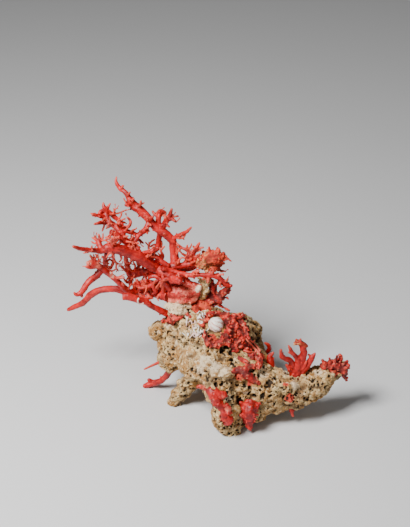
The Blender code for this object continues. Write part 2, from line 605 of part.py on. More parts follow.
def centre_on_table():
    """Moves the model so that the middle of its footprint is the origin, on the table."""
    corners = [vert.co for obj in MODEL.objects for vert in obj.data.vertices]
    low = [min(corner[axis] for corner in corners) for axis in range(3)]
    high = [max(corner[axis] for corner in corners) for axis in range(3)]
    shift = Vector((-(low[0] + high[0]) / 2, -(low[1] + high[1]) / 2, -low[2]))
    for obj in MODEL.objects:
        obj.data.transform(Matrix.Translation(shift))
    return shift


clear_scene()
MODEL = new_collection("red_coral_branch")
CUTTERS = new_collection("cutters")
RED = material("coral_red", CORAL_RED, 0.5)
ORANGE = material("sponge_orange", CORAL_ORANGE, 0.8)
CREAM = material("reef_rock", ROCK_CREAM, 0.9)
WHITE = material("shell_white", SHELL_WHITE, 0.6)

STONE = rock()
ROCK_SKIN = BVHTree.FromPolygons([vert.co for vert in STONE.data.vertices],
                                 [face.vertices for face in STONE.data.polygons])
barnacle("barnacle", 215.7, 325, 16, 15, 9, radians(55))
coral("trunk", TRUNK, 380, ["rock"])
coral("spire_branch", fanned(SPIRE_BRANCH), 560, ["trunk"])
coral("crown_branch", fanned(CROWN_BRANCH), 230, ["spire_branch"])
coral("cross_branch", fanned(CROSS_BRANCH), 100, ["spire_branch"])
coral("great_branch", fanned(GREAT_BRANCH), 415, ["trunk"])
coral("upper_left_branch", fanned(UPPER_LEFT_BRANCH), 470, ["great_branch", "cross_branch"])
coral("middle_branch", fanned(MIDDLE_BRANCH), 135, ["trunk", "great_branch"])
coral("tangle", fanned(TANGLE), 320, ["rock", "trunk", "middle_branch"])
coral("lower_left_branch", fanned(LOWER_LEFT_BRANCH), 250, ["tangle"])
coral("lower_left_fork", fanned(LOWER_LEFT_FORK), 110, ["lower_left_branch"])
coral("long_lower_branch", fanned(LONG_LOWER_BRANCH), 110, ["tangle", "lower_left_branch"])
coral("broken_branch", BROKEN_BRANCH, 100, ["rock"])
coral("right_lower_branch", fanned(RIGHT_LOWER_BRANCH), 120, ["trunk"])
coral("right_upper_branch", fanned(RIGHT_UPPER_BRANCH), 270, ["trunk"])
coral("spongy_cluster", fanned(SPONGY_CLUSTER), 270, ["right_upper_branch", "right_lower_branch"],
      finish=ORANGE)
coral("loop_cluster", LOOP_CLUSTER, 200, ["rock", "right_lower_branch"])
coral("sponge_blob", on_rock(SPONGE_BLOB), 90, ["rock", "trunk", "loop_cluster"],
      finish=ORANGE)
coral("leg_branch", LEG_BRANCH, 100, ["rock"])
coral("leg_twig", LEG_TWIG, 36, ["rock"])
coral("hook_twig", HOOK_TWIG, 70, ["rock"])
coral("cone_twig", CONE_TWIG, 50, ["rock"])
coral("arm_sprig", ARM_SPRIG, 260, ["rock"])
coral("arm_horn", ARM_HORN, 70, ["rock", "arm_sprig"])
coral("arm_tip_sprig", on_rock(ARM_TIP_SPRIG), 180, ["rock"])
coral("red_knob", on_rock(RED_KNOB), 130, ["rock"], CRUST_VOXEL)
coral("foot_coral", on_rock(FOOT_CORAL), 120, ["rock"], CRUST_VOXEL)
coral("ridge_coral", on_rock(RIDGE_CORAL), 80, ["rock"], CRUST_VOXEL)
coral("field_coral", on_rock(FIELD_CORAL), 210, ["rock", "barnacle"], CRUST_VOXEL)
coral("under_twigs", UNDER_TWIGS, 60, ["rock"])
SHIFT = centre_on_table()
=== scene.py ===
from math import cos, radians, sin, sqrt

import bmesh
import bpy
import numpy as np
from mathutils import Matrix, Vector
from mathutils.bvhtree import BVHTree


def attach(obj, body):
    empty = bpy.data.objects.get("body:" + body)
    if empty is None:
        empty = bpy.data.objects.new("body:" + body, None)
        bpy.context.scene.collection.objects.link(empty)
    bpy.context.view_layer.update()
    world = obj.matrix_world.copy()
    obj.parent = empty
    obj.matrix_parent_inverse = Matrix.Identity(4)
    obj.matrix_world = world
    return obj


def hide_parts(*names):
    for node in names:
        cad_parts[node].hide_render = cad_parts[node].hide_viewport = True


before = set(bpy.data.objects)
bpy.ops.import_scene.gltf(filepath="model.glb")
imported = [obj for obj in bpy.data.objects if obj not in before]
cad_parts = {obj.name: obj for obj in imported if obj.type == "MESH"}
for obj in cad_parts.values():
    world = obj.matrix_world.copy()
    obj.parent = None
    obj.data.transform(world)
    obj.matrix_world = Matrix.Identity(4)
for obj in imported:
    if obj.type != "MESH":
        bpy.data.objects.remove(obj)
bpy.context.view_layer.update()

# Camera: where the photograph was taken from, 30 degrees above the table and 1.3 m away.
# It sees the leaning drawing sheet that the coral is laid out on, 1 mm to a pixel, so a
# place is given as (right, down, back): millimetres on that sheet, and depth behind it.
MM = 0.001
EYE = Vector((-0.000165, -1.09869, 0.797657))
EYE_DISTANCE = 1300
PHOTO_HEIGHT = 527
FILM_HEIGHT = 36
SHEET_LEAN = radians(30)
FOOT_RIGHT, FOOT_DOWN = 230, 434
SHEET_FOOT = Vector((0.024835, -0.05811, 0.0))
camera = bpy.data.objects.new("camera", bpy.data.cameras.new("camera"))
camera.location = EYE
camera.rotation_euler = (radians(90) - SHEET_LEAN, 0, 0)
camera.data.lens = FILM_HEIGHT * EYE_DISTANCE / PHOTO_HEIGHT
bpy.context.scene.collection.objects.link(camera)
bpy.context.scene.camera = camera


def on_sheet(right, down):
    """A place on the sheet in the model; the sheet's foot is on the table."""
    up = FOOT_DOWN - down
    return Vector((right - FOOT_RIGHT, up * sin(SHEET_LEAN), up * cos(SHEET_LEAN))) * MM + SHEET_FOOT


def in_model(right, down, back):
    """The point at this depth that the camera sees at this place on the sheet."""
    sight = on_sheet(right, down) - EYE
    return EYE + sight * ((back * MM + SHEET_FOOT.y - EYE.y) / sight.y)


# Studio: a plain pale floor under one large soft light from the upper left, with a
# weaker one from the right.
FLOOR_SIDE, FLOOR_FRONT, FLOOR_BACK = 4, -4, 6
LIT_PLACE = Vector((0, 0, 0.08))


def colour(red, green, blue):
    """A colour as a screen shows it, 0 to 255, in the linear values that a shader takes."""
    parts = [part / 255 for part in (red, green, blue)]
    return (*(p / 12.92 if p < 0.04045 else ((p + 0.055) / 1.055) ** 2.4 for p in parts), 1.0)


floor_mesh = bpy.data.meshes.new("floor")
floor_mesh.from_pydata([(-FLOOR_SIDE, FLOOR_FRONT, 0), (FLOOR_SIDE, FLOOR_FRONT, 0),
                        (FLOOR_SIDE, FLOOR_BACK, 0), (-FLOOR_SIDE, FLOOR_BACK, 0)], [], [(0, 1, 2, 3)])
floor = bpy.data.objects.new("floor", floor_mesh)
bpy.context.scene.collection.objects.link(floor)
floor_paint = bpy.data.materials.new("floor_paint")
floor_paint.use_nodes = True
floor_shader = floor_paint.node_tree.nodes["Principled BSDF"]
floor_shader.inputs["Base Color"].default_value = colour(212, 212, 212)
floor_shader.inputs["Roughness"].default_value = 0.8
floor_mesh.materials.append(floor_paint)
for name, place, power, size in (
    ("softbox", (-0.52, -0.45, 1.0), 29, 0.4),
    ("side_light", (1.1, -0.9, 0.8), 1.2, 0.8),
):
    light = bpy.data.objects.new(name, bpy.data.lights.new(name, "AREA"))
    light.data.energy = power
    light.data.size = size
    light.location = place
    light.rotation_euler = (LIT_PLACE - light.location).to_track_quat("-Z", "Y").to_euler()
    bpy.context.scene.collection.objects.link(light)
world = bpy.data.worlds.new("studio")
world.use_nodes = True
world.node_tree.nodes["Background"].inputs["Color"].default_value = (1.0, 1.0, 1.0, 1.0)
world.node_tree.nodes["Background"].inputs["Strength"].default_value = 0.14
bpy.context.scene.world = world


# Rock: a loose lump of reef rock, built up by worms, algae and shells and then bored
# full of pores. It stands on three feet and reaches out in a long arm at the right.
ROCK_GRAIN = 0.0008
ROCK_FACES = 80000
ROCK_DEPTH = 60


def welded(name):
    """A copy of a CAD node's mesh with its loose triangles joined."""
    shape = bmesh.new()
    shape.from_mesh(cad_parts[name].data)
    bmesh.ops.remove_doubles(shape, verts=shape.verts, dist=1e-6)
    made = bpy.data.meshes.new(name + "_solid")
    shape.to_mesh(made)
    shape.free()
    return made


def changed(mesh, kind, values=(), **settings):
    """The mesh after one modifier; values are for the named inputs of a node group."""
    guide = bpy.data.objects.new("guide", mesh)
    bpy.context.scene.collection.objects.link(guide)
    modifier = guide.modifiers.new(kind, kind)
    for key, value in settings.items():
        setattr(modifier, key, value)
    for key, value in dict(values).items():
        modifier[modifier.node_group.interface.items_tree[key].identifier] = value
    graph = bpy.context.evaluated_depsgraph_get()
    made = bpy.data.meshes.new_from_object(guide.evaluated_get(graph), preserve_all_data_layers=True,
                                           depsgraph=graph)
    bpy.data.objects.remove(guide, do_unlink=True)
    return made


def add(tree, kind, inputs=(), **settings):
    """A node of this kind with its inputs set, or linked where the value is a socket."""
    made = tree.nodes.new(kind)
    for key, value in settings.items():
        setattr(made, key, value)
    for key, value in dict(inputs).items():
        if isinstance(value, bpy.types.NodeSocket):
            tree.links.new(value, made.inputs[key])
        else:
            made.inputs[key].default_value = value
    return made


def calc(tree, operation, *values):
    return add(tree, "ShaderNodeMath", enumerate(values), operation=operation).outputs[0]


def times(tree, first, second):
    return calc(tree, "MULTIPLY", first, second)


def either_way(tree, value, reach=1.0):
    """A value of 0 to 1 as one that swings this far to either side of nothing."""
    return calc(tree, "MULTIPLY_ADD", value, 2 * reach, -reach)


def ramp(tree, value, low, high, start=0.0, end=1.0):
    """The value from low to high, eased to start and end."""
    made = add(tree, "ShaderNodeMapRange", {0: value, 1: low, 2: high, 3: start, 4: end},
               interpolation_type="SMOOTHSTEP")
    return made.outputs[0]


def noise(tree, place, scale, detail=2.0, roughness=0.5):
    return add(tree, "ShaderNodeTexNoise",
               {"Vector": place, "Scale": scale, "Detail": detail, "Roughness": roughness}).outputs[0]


def cells(tree, place, scale):
    """Distance from the middle of the nearest cell, and a number of the cell's own."""
    made = add(tree, "ShaderNodeTexVoronoi", {"Vector": place, "Scale": scale})
    split = add(tree, "ShaderNodeSeparateXYZ", {0: made.outputs["Color"]})
    return made.outputs["Distance"], split.outputs[0]


def pored(tree, place, per_metre, rim, bottom, none, all_of_it):
    """Pores in some of the cells, 1 at their bottom and 0 from their rim outward."""
    far, which = cells(tree, place, per_metre)
    return times(tree, ramp(tree, far, rim, bottom), ramp(tree, which, none, all_of_it))


def mixed(tree, factor, first, second):
    made = tree.nodes.new("ShaderNodeMix")
    made.data_type = "RGBA"
    for key, value in ((0, factor), (6, first), (7, second)):
        if isinstance(value, bpy.types.NodeSocket):
            tree.links.new(value, made.inputs[key])
        else:
            made.inputs[key].default_value = value
    return made.outputs[2]


def tinted(tree, paint, value, low, high, share, tint):
    """The paint with a tint in it: none where the value is low, this share where it is high."""
    return mixed(tree, ramp(tree, value, low, high, 0.0, share), paint, tint)


def seen(tree, name):
    """What is stored under this name on the points of a piece."""
    return add(tree, "ShaderNodeAttribute", attribute_name=name).outputs["Fac"]


def new_finish(name):
    """A material, its nodes, and the place on the piece that its patterns are taken from."""
    made = bpy.data.materials.new(name)
    made.use_nodes = True
    return made, made.node_tree, add(made.node_tree, "ShaderNodeTexCoord").outputs["Object"]


def end_finish(tree, paint, roughness, height, strength, depth):
    """Gives a material its colour, its roughness, and a fine relief this deep."""
    shader = tree.nodes["Principled BSDF"]
    tree.links.new(paint, shader.inputs["Base Color"])
    tree.links.new(roughness, shader.inputs["Roughness"])
    bump = add(tree, "ShaderNodeBump", {"Height": height, "Strength": strength, "Distance": depth})
    tree.links.new(bump.outputs[0], shader.inputs["Normal"])


def node_group(name, inputs):
    """A Geometry Nodes tree with these named inputs; returns it and its sockets."""
    tree = bpy.data.node_groups.new(name, "GeometryNodeTree")
    tree.interface.new_socket("Geometry", in_out="INPUT", socket_type="NodeSocketGeometry")
    tree.interface.new_socket("Shaped", in_out="OUTPUT", socket_type="NodeSocketGeometry")
    for key, value in inputs.items():
        kind = {float: "NodeSocketFloat", int: "NodeSocketInt"}.get(type(value), "NodeSocketMaterial")
        made = tree.interface.new_socket(key, in_out="INPUT", socket_type=kind)
        made.default_value = value
    return tree, tree.nodes.new("NodeGroupInput").outputs


def held(tree, name):
    """The same as seen, for a Geometry Nodes tree."""
    return add(tree, "GeometryNodeInputNamedAttribute", {"Name": name}, data_type="FLOAT").outputs[0]


def stored(tree, geometry, name, value):
    return add(tree, "GeometryNodeStoreNamedAttribute",
               {"Geometry": geometry, "Name": name, "Value": value},
               data_type="FLOAT", domain="POINT").outputs[0]


def pushed_out(tree, geometry, distance):
    """The geometry with its points moved out along their normals."""
    normal = tree.nodes.new("GeometryNodeInputNormal").outputs[0]
    away = add(tree, "ShaderNodeVectorMath", {0: normal, 3: distance}, operation="SCALE").outputs[0]
    return add(tree, "GeometryNodeSetPosition", {"Geometry": geometry, "Offset": away}).outputs[0]


def end_group(tree, shaped, finish):
    """Ends the tree with its instances made real and its material set."""
    real = add(tree, "GeometryNodeRealizeInstances", {0: shaped}).outputs[0]
    covered = add(tree, "GeometryNodeSetMaterial", {"Geometry": real, "Material": finish}).outputs[0]
    tree.links.new(covered, tree.nodes.new("NodeGroupOutput").inputs[0])


def points_of(mesh):
    points = np.empty(len(mesh.vertices) * 3)
    mesh.vertices.foreach_get("co", points)
    return points.reshape(-1, 3)


def mark(mesh, name, values):
    """Stores a number for each point of the mesh under this name."""
    mesh.attributes.new(name, "FLOAT", "POINT").data.foreach_set("value", values)


def spots(mesh, name, places):
    """Marks how far each point is inside any of these (centre, radius, strength) spots."""
    points = points_of(mesh)
    inside = np.zeros(len(points))
    for centre, radius, strength in places:
        far = np.linalg.norm(points - np.array(centre), axis=1) / (radius * MM)
        inside = np.maximum(inside, strength * np.clip(1.5 - far, 0.0, 1.0))
    mark(mesh, name, inside)


def finished(name, mesh, slot, *stands_for):
    """The mesh as a piece of the object, in place of these CAD nodes."""
    mesh.shade_smooth()
    mesh.name = name
    piece = bpy.data.objects.new(name, mesh)
    bpy.context.scene.collection.objects.link(piece)
    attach(piece, "root")
    if stands_for:
        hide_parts(*stands_for)
    return piece


stone, tree, place = new_finish("reef_rock")
wander = noise(tree, place, 60, 3)
cream = mixed(tree, ramp(tree, noise(tree, place, 130, 4, 0.6), 0.4, 0.6),
              colour(212, 178, 122), colour(172, 126, 72))
cream = tinted(tree, cream, wander, 0.5, 0.62, 0.8, colour(160, 108, 44))
cream = tinted(tree, cream, noise(tree, place, 300, 4, 0.7), 0.52, 0.62, 0.8, colour(232, 208, 164))
cream = tinted(tree, cream, noise(tree, place, 410, 4, 0.7), 0.46, 0.36, 0.75, colour(104, 72, 38))
# Painted shade in the low parts between lumps and painted highlight on the lump tops, by how high the skin
# rises.
cream = tinted(tree, cream, seen(tree, "rise"), 0.45, 0.05, 0.9, colour(86, 58, 30))
cream = tinted(tree, cream, seen(tree, "rise"), 0.62, 0.95, 0.5, colour(240, 222, 186))
chalky = calc(tree, "ADD", seen(tree, "white"), either_way(tree, noise(tree, place, 150, 4, 0.7), 1.1))
cream = tinted(tree, cream, chalky, 0.4, 1.0, 0.7, colour(238, 216, 180))
stained = calc(tree, "ADD", seen(tree, "stained"), either_way(tree, noise(tree, place, 240, 3), 0.8))
cream = tinted(tree, cream, stained, 0.5, 0.72, 0.9, colour(196, 44, 30))
fine_pore = pored(tree, place, 560, 0.34, 0.16, 0.45, 0.5)
# Painted shade: dark in the fine pores, and darkest in the pits and hollows that the pores group sinks.
cream = mixed(tree, times(tree, fine_pore, 0.85), cream, colour(70, 46, 24))
cream = tinted(tree, cream, seen(tree, "pit"), 0.15, 0.8, 0.96, colour(38, 24, 12))
height = calc(tree, "SUBTRACT", noise(tree, place, 700, 4, 0.65), times(tree, fine_pore, 0.8))
end_finish(tree, cream, ramp(tree, wander, 0.3, 0.7, 0.82, 0.95), height, 1.0, 0.0009)

# The pores: the rock's skin lifted in lumps and knobs and sunk in wide and small pores and
# in the hollows, less so where it is plastered over.
pores, into = node_group("pores", {
    "Lumps": 0.0030, "Knobs": 0.0030, "Grain": 0.0008, "Pore Depth": 0.0036, "Knobs per Metre": 120.0,
    "Pores per Metre": 185.0, "Small Pores per Metre": 340.0, "Stone": stone})
place = pores.nodes.new("GeometryNodeInputPosition").outputs[0]
sway = add(pores, "ShaderNodeTexNoise", {"Vector": place, "Scale": 120}).outputs[1]
bent = add(pores, "ShaderNodeVectorMath", {0: sway, 1: (0.008,) * 3, 2: place},
           operation="MULTIPLY_ADD").outputs[0]
wide_pore = pored(pores, bent, into["Pores per Metre"], 0.42, 0.2, 0.55, 0.58)
small_pore = pored(pores, bent, into["Small Pores per Metre"], 0.5, 0.28, 0.3, 0.34)
small_pore = times(pores, small_pore, ramp(pores, noise(pores, place, 45), 0.36, 0.46))
far, _ = cells(pores, bent, into["Knobs per Metre"])
knobs = calc(pores, "SUBTRACT", 0.55, times(pores, far, calc(pores, "ADD", far, 0.35)))
lumps = either_way(pores, noise(pores, place, 62, 3, 0.6))
grain = times(pores, either_way(pores, noise(pores, place, 430, 2)), into["Grain"])
relief = calc(pores, "ADD", times(pores, lumps, into["Lumps"]), times(pores, knobs, into["Knobs"]))
plastered = calc(pores, "MINIMUM", held(pores, "plastered"), 1.0)
left_rough = calc(pores, "MULTIPLY_ADD", plastered, -0.85, 1.0)
wide_pore = times(pores, wide_pore, left_rough)
small_pore = times(pores, small_pore, left_rough)
relief = times(pores, relief, calc(pores, "MULTIPLY_ADD", plastered, -0.55, 1.0))
ragged = either_way(pores, noise(pores, place, 210, 3, 0.6), 1.3)
hollow = ramp(pores, calc(pores, "ADD", held(pores, "hollow"), ragged), 0.4, 0.8)
sunk = calc(pores, "ADD", calc(pores, "ADD", wide_pore, times(pores, small_pore, 0.5)), hollow)
rise = calc(pores, "SUBTRACT", calc(pores, "ADD", relief, grain), times(pores, sunk, into["Pore Depth"]))
# The pits and how high the skin rises are kept for the stone finish's painted shade and painted highlight.
pit = calc(pores, "MAXIMUM", hollow, calc(pores, "MAXIMUM", wide_pore, small_pore))
marked = stored(pores, into["Geometry"], "pit", pit)
marked = stored(pores, marked, "rise", calc(pores, "MULTIPLY_ADD", relief, 180.0, 0.35))
moved = pushed_out(pores, marked, rise)
where = add(pores, "ShaderNodeSeparateXYZ", {0: pores.nodes.new("GeometryNodeInputPosition").outputs[0]})
on_table = calc(pores, "MAXIMUM", where.outputs[2], 0.0)
above = add(pores, "ShaderNodeCombineXYZ", {0: where.outputs[0], 1: where.outputs[1], 2: on_table})
standing = add(pores, "GeometryNodeSetPosition", {"Geometry": moved, "Position": above.outputs[0]})
end_group(pores, standing.outputs[0], into["Stone"])

rock_solid = welded("rock")
rock_skin = BVHTree.FromPolygons([point.co for point in rock_solid.vertices],
                                 [face.vertices for face in rock_solid.polygons])


def on_rock(right, down, past_edge=None):
    """The rock's point seen at this place on the sheet, or the one given past its edge."""
    met = rock_skin.ray_cast(EYE, (on_sheet(right, down) - EYE).normalized())[0]
    return past_edge or in_model(right, down, ROCK_DEPTH) if met is None else met


def spots_on_rock(mesh, name, places):
    """Marks spots of the rock, each given as (right, down, radius)."""
    spots(mesh, name, [(on_rock(right, down), radius, 1.0) for right, down, radius in places])


rock_mesh = changed(rock_solid, "REMESH", mode="VOXEL", voxel_size=ROCK_GRAIN)
rock_mesh = changed(rock_mesh, "SMOOTH", iterations=4, factor=0.6)
spots_on_rock(rock_mesh, "plastered", (
    (197, 358, 7), (205, 362, 9), (213, 366, 8), (221, 371, 7), (177, 342.6, 5), (182, 353, 7),
    (188, 361, 6), (229, 374, 5), (296, 386, 6), (304, 383, 5), (216, 356, 5), (190, 349, 5)))
spots_on_rock(rock_mesh, "hollow", (
    (202.5, 333.5, 3.6), (194, 337, 2.4), (288, 374, 3.6), (269, 383, 3.6), (234, 398, 3.4),
    (240.5, 401, 3.2), (177, 331, 2.6), (250, 389, 3), (276, 378, 2.6), (312, 380, 2.4), (211, 346, 3),
    (222, 350, 3.2), (231, 352, 3), (192, 370, 2.6), (206, 379, 3), (262, 396, 3), (258, 340, 3.4)))
rock_mesh = changed(rock_mesh, "NODES", node_group=pores)
rock_mesh = changed(rock_mesh, "DECIMATE", ratio=min(1.0, ROCK_FACES / len(rock_mesh.polygons)))
spots_on_rock(rock_mesh, "white", (
    (174, 305, 8), (183, 303, 8), (192, 305, 7), (186, 312, 7), (196, 326, 4), (205, 362, 8), (214, 368, 9),
    (222, 374, 8), (200, 370, 6), (176.7, 342, 4), (296, 386, 6), (286, 372, 6), (262, 372, 7), (318, 372, 6),
    (170, 325, 5), (228, 398, 5), (245, 392, 4)))
spots_on_rock(rock_mesh, "stained", (
    (228, 318, 9), (238, 328, 10), (230, 340, 9), (244, 342, 8), (212, 340, 6), (206, 316, 5), (240, 374, 7),
    (252, 380, 6), (216, 398, 7), (226, 418, 7), (249, 412, 9), (285.4, 385.3, 3), (300, 368, 7),
    (336, 368, 9), (290, 398, 5), (262, 356, 5)))
finished("reef_rock", rock_mesh, "rock", "rock")


# Barnacle: a white acorn-barnacle shell cemented to the rock's upper front. Its plates are
# ribbed from base to tip and stained faintly pink.
BARNACLE_RADIUS = 0.0079
BARNACLE_RIGHT, BARNACLE_DOWN = 215.7, 325
BARNACLE_TILT = radians(-35)

shell, tree, place = new_finish("barnacle_shell")
chalk = mixed(tree, ramp(tree, noise(tree, place, 260, 3), 0.42, 0.6, 0.0, 0.8),
              colour(246, 240, 230), colour(226, 214, 196))
chalk = tinted(tree, chalk, noise(tree, place, 120, 2), 0.52, 0.64, 0.6, colour(236, 160, 146))
pink = times(tree, seen(tree, "groove"), ramp(tree, noise(tree, place, 140, 2), 0.42, 0.56, 0.15, 1.0))
chalk = mixed(tree, pink, chalk, colour(206, 112, 94))
end_finish(tree, chalk, ramp(tree, noise(tree, place, 300), 0.3, 0.7, 0.5, 0.75),
           noise(tree, place, 900, 3), 0.5, 0.0004)
shape = bmesh.new()
groove = shape.verts.layers.float.new("groove")
bmesh.ops.create_uvsphere(shape, u_segments=144, v_segments=48, radius=1.0)
for vert in shape.verts:
    turn = np.arctan2(vert.co.y, vert.co.x) + 0.5 * vert.co.z
    vert[groove] = (1.0 - abs(cos(4 * turn))) ** 2
    rib = 1.0 - 0.2 * vert[groove] - 0.03 * abs(sin(12 * turn)) + 0.04 * sin(turn + 1.0)
    ring = 1.0 - 0.012 * sin(28 * vert.co.z)
    vert.co.x *= rib * ring * BARNACLE_RADIUS
    vert.co.y *= rib * ring * BARNACLE_RADIUS
    vert.co.z *= (1.0 - 0.05 * (1.0 - rib)) * BARNACLE_RADIUS
stood = Matrix.Translation(on_rock(BARNACLE_RIGHT, BARNACLE_DOWN)) @ Matrix.Rotation(BARNACLE_TILT, 4, "Y")
bmesh.ops.transform(shape, matrix=stood, verts=shape.verts)
barnacle_mesh = bpy.data.meshes.new("barnacle")
shape.to_mesh(barnacle_mesh)
shape.free()
barnacle_mesh.materials.append(shell)
finished("barnacle_shell", barnacle_mesh, "shell", "barnacle")


# Trunk of the fan: the red coral's spread base, grown over the rock as a pink crust that
# is worn white in places, with its stem and the short sawn stub in front.
CORAL_GRAIN = 0.00045
CORAL_FACES_KEPT = 0.68
# Half of a drawn millimetre, and 12% for what smoothing takes off again.
RADIUS_OF_THICKNESS = 0.00056
REDDEST_RADIUS, PALEST_RADIUS = 0.0021, 0.0009
TIP_ROUNDING = (0.0, 0.4, 0.7, 0.9, 0.98)

coral_red, tree, place = new_finish("red_coral")
red = mixed(tree, ramp(tree, noise(tree, place, 90, 3), 0.36, 0.64), colour(196, 15, 9), colour(138, 4, 2))
red = tinted(tree, red, noise(tree, place, 330, 3), 0.5, 0.68, 0.6, colour(224, 44, 26))
# Painted shade where the skin sinks below its tube, and painted highlight where it stands proud.
red = tinted(tree, red, seen(tree, "proud"), 0.0, -0.0009, 0.65, colour(98, 4, 2))
red = tinted(tree, red, seen(tree, "proud"), 0.0006, 0.002, 0.5, colour(232, 84, 60))
red = tinted(tree, red, seen(tree, "tip"), 0.1, 1.0, 0.55, colour(234, 96, 68))
crusted = calc(tree, "ADD", seen(tree, "pale"), either_way(tree, noise(tree, place, 380, 4, 0.65), 0.75))
red = tinted(tree, red, crusted, 0.22, 0.6, 0.8, colour(232, 112, 88))
red = tinted(tree, red, crusted, 0.7, 0.95, 1.0, colour(240, 220, 192))
end_finish(tree, red, ramp(tree, noise(tree, place, 200), 0.3, 0.7, 0.44, 0.62),
           noise(tree, place, 900, 3, 0.6), 0.6, 0.0004)

nubs, into = node_group("nubs", {
    "Nubs per Square Metre": 2500.0, "Nub Height": 0.002, "Nub Width": 0.001, "Nub Tip": 0.5, "Seed": 1,
    "Coral": coral_red})
spread = add(nubs, "GeometryNodeDistributePointsOnFaces",
             {"Mesh": into["Geometry"], "Density": into["Nubs per Square Metre"], "Seed": into["Seed"]})
nub = add(nubs, "GeometryNodeMeshCone",
          {"Vertices": 10, "Side Segments": 2, "Radius Top": times(nubs, into["Nub Width"], into["Nub Tip"]),
           "Radius Bottom": into["Nub Width"], "Depth": into["Nub Height"]})
size = add(nubs, "FunctionNodeRandomValue", {"Min": (0.7, 0.7, 0.35), "Max": (1.3, 1.3, 1.1),
                                             "Seed": into["Seed"]}, data_type="FLOAT_VECTOR")
grown = add(nubs, "GeometryNodeInstanceOnPoints",
            {"Points": spread.outputs["Points"], "Instance": nub.outputs["Mesh"],
             "Rotation": spread.outputs["Rotation"], "Scale": size.outputs[0]})
both = nubs.nodes.new("GeometryNodeJoinGeometry")
nubs.links.new(grown.outputs[0], both.inputs[0])
nubs.links.new(into["Geometry"], both.inputs[0])
end_group(nubs, both.outputs[0], into["Coral"])

swells, into = node_group("swells", {
    "Swell": 0.0005, "Swells per Metre": 170.0, "Grain": 0.0002, "Speck": 60.0, "Coral": coral_red})
place = swells.nodes.new("GeometryNodeInputPosition").outputs[0]
swell = times(swells, either_way(swells, noise(swells, place, into["Swells per Metre"], 2)), into["Swell"])
grain = times(swells, either_way(swells, noise(swells, place, 620, 2)), into["Grain"])
moved = pushed_out(swells, into["Geometry"], calc(swells, "ADD", swell, grain))
island = swells.nodes.new("GeometryNodeInputMeshIsland").outputs["Island Index"]
counted = add(swells, "GeometryNodeAccumulateField", {"Group ID": island}, domain="POINT").outputs["Total"]
speck = calc(swells, "LESS_THAN", counted, into["Speck"])
whole = add(swells, "GeometryNodeDeleteGeometry", {"Geometry": moved, "Selection": speck}, domain="POINT")
end_group(swells, whole.outputs[0], into["Coral"])


def smooth_path(points, steps=5):
    """A Catmull-Rom curve through a branch's points in the model, rounded off at its tip."""
    knots = [(*in_model(*point[:3]), point[3] * RADIUS_OF_THICKNESS) for point in points]
    ends = [knots[0], *knots, knots[-1]]
    path = []
    for a, b, c, d in zip(ends, ends[1:], ends[2:], ends[3:]):
        for step in range(steps):
            t = step / steps
            path.append([0.5 * (2 * q + (r - p) * t + (2 * p - 5 * q + 4 * r - s) * t * t
                                + (3 * q - p - 3 * r + s) * t ** 3) for p, q, r, s in zip(a, b, c, d)])
    tip = Vector(knots[-1][:3])
    onward = (tip - Vector(path[-1][:3])).normalized()
    thick = knots[-1][3]
    for share in TIP_ROUNDING:
        path.append([*(tip + onward * thick * share), thick * sqrt(1 - share * share)])
    return path


def coral(name, branches, slot="coral", stands_for=None, finish=coral_red, nub_count=2500.0,
          nub_size=(0.0019, 0.0011, 0.5), seed=1, swell=0.0007, pale=()):
    """A coral growth: tubes with nubs, fused and swollen here and there, paler at its thin
    tips. It is marked with how far each point stands proud of its tube, from which finishes
    paint shade where it sinks, and some a highlight where it stands out. nub_size is a nub's
    height, its width and how blunt it is."""
    curve = bpy.data.curves.new(name, "CURVE")
    curve.dimensions = "3D"
    curve.bevel_depth = 1.0
    curve.bevel_resolution = 3
    curve.use_fill_caps = True
    paths = [smooth_path(points) for points in branches]
    for path in paths:
        spline = curve.splines.new("POLY")
        spline.points.add(len(path) - 1)
        for knot, (x, y, z, thick) in zip(spline.points, path):
            knot.co = (x, y, z, 1.0)
            knot.radius = thick
    guide = bpy.data.objects.new(name + "_guide", curve)
    bpy.context.scene.collection.objects.link(guide)
    mesh = bpy.data.meshes.new_from_object(guide)
    bpy.data.objects.remove(guide, do_unlink=True)
    nub_height, nub_width, nub_tip = nub_size
    mesh = changed(mesh, "NODES", {"Nubs per Square Metre": nub_count, "Nub Height": nub_height,
                                   "Nub Width": nub_width, "Nub Tip": nub_tip, "Seed": seed}, node_group=nubs)
    mesh = changed(mesh, "REMESH", mode="VOXEL", voxel_size=CORAL_GRAIN)
    mesh = changed(mesh, "SMOOTH", iterations=2, factor=0.5)
    mesh = changed(mesh, "NODES", {"Swell": swell, "Coral": finish}, node_group=swells)
    mesh = changed(mesh, "DECIMATE", ratio=CORAL_FACES_KEPT)
    points = points_of(mesh)
    points[:, 2] = np.maximum(points[:, 2], 0.0)
    mesh.vertices.foreach_set("co", points.ravel())
    knots = [knot for path in paths for knot in path[:1 - len(TIP_ROUNDING)]]
    nearest = np.full(len(points), np.inf)
    thick = np.zeros(len(points))
    for x, y, z, radius in knots:
        far = np.linalg.norm(points - (x, y, z), axis=1) - radius
        closer = far < nearest
        nearest[closer] = far[closer]
        thick[closer] = radius
    # How far each point stands proud of its tube, for painted shade where it sinks and painted highlight
    # where it stands out.
    mark(mesh, "proud", nearest)
    mark(mesh, "tip", np.clip((REDDEST_RADIUS - thick) / (REDDEST_RADIUS - PALEST_RADIUS), 0.0, 1.0))
    spots(mesh, "pale", [(in_model(*spot[:3]), *spot[3:]) for spot in pale])
    return finished(name, mesh, slot, *([stands_for] if stands_for else []))


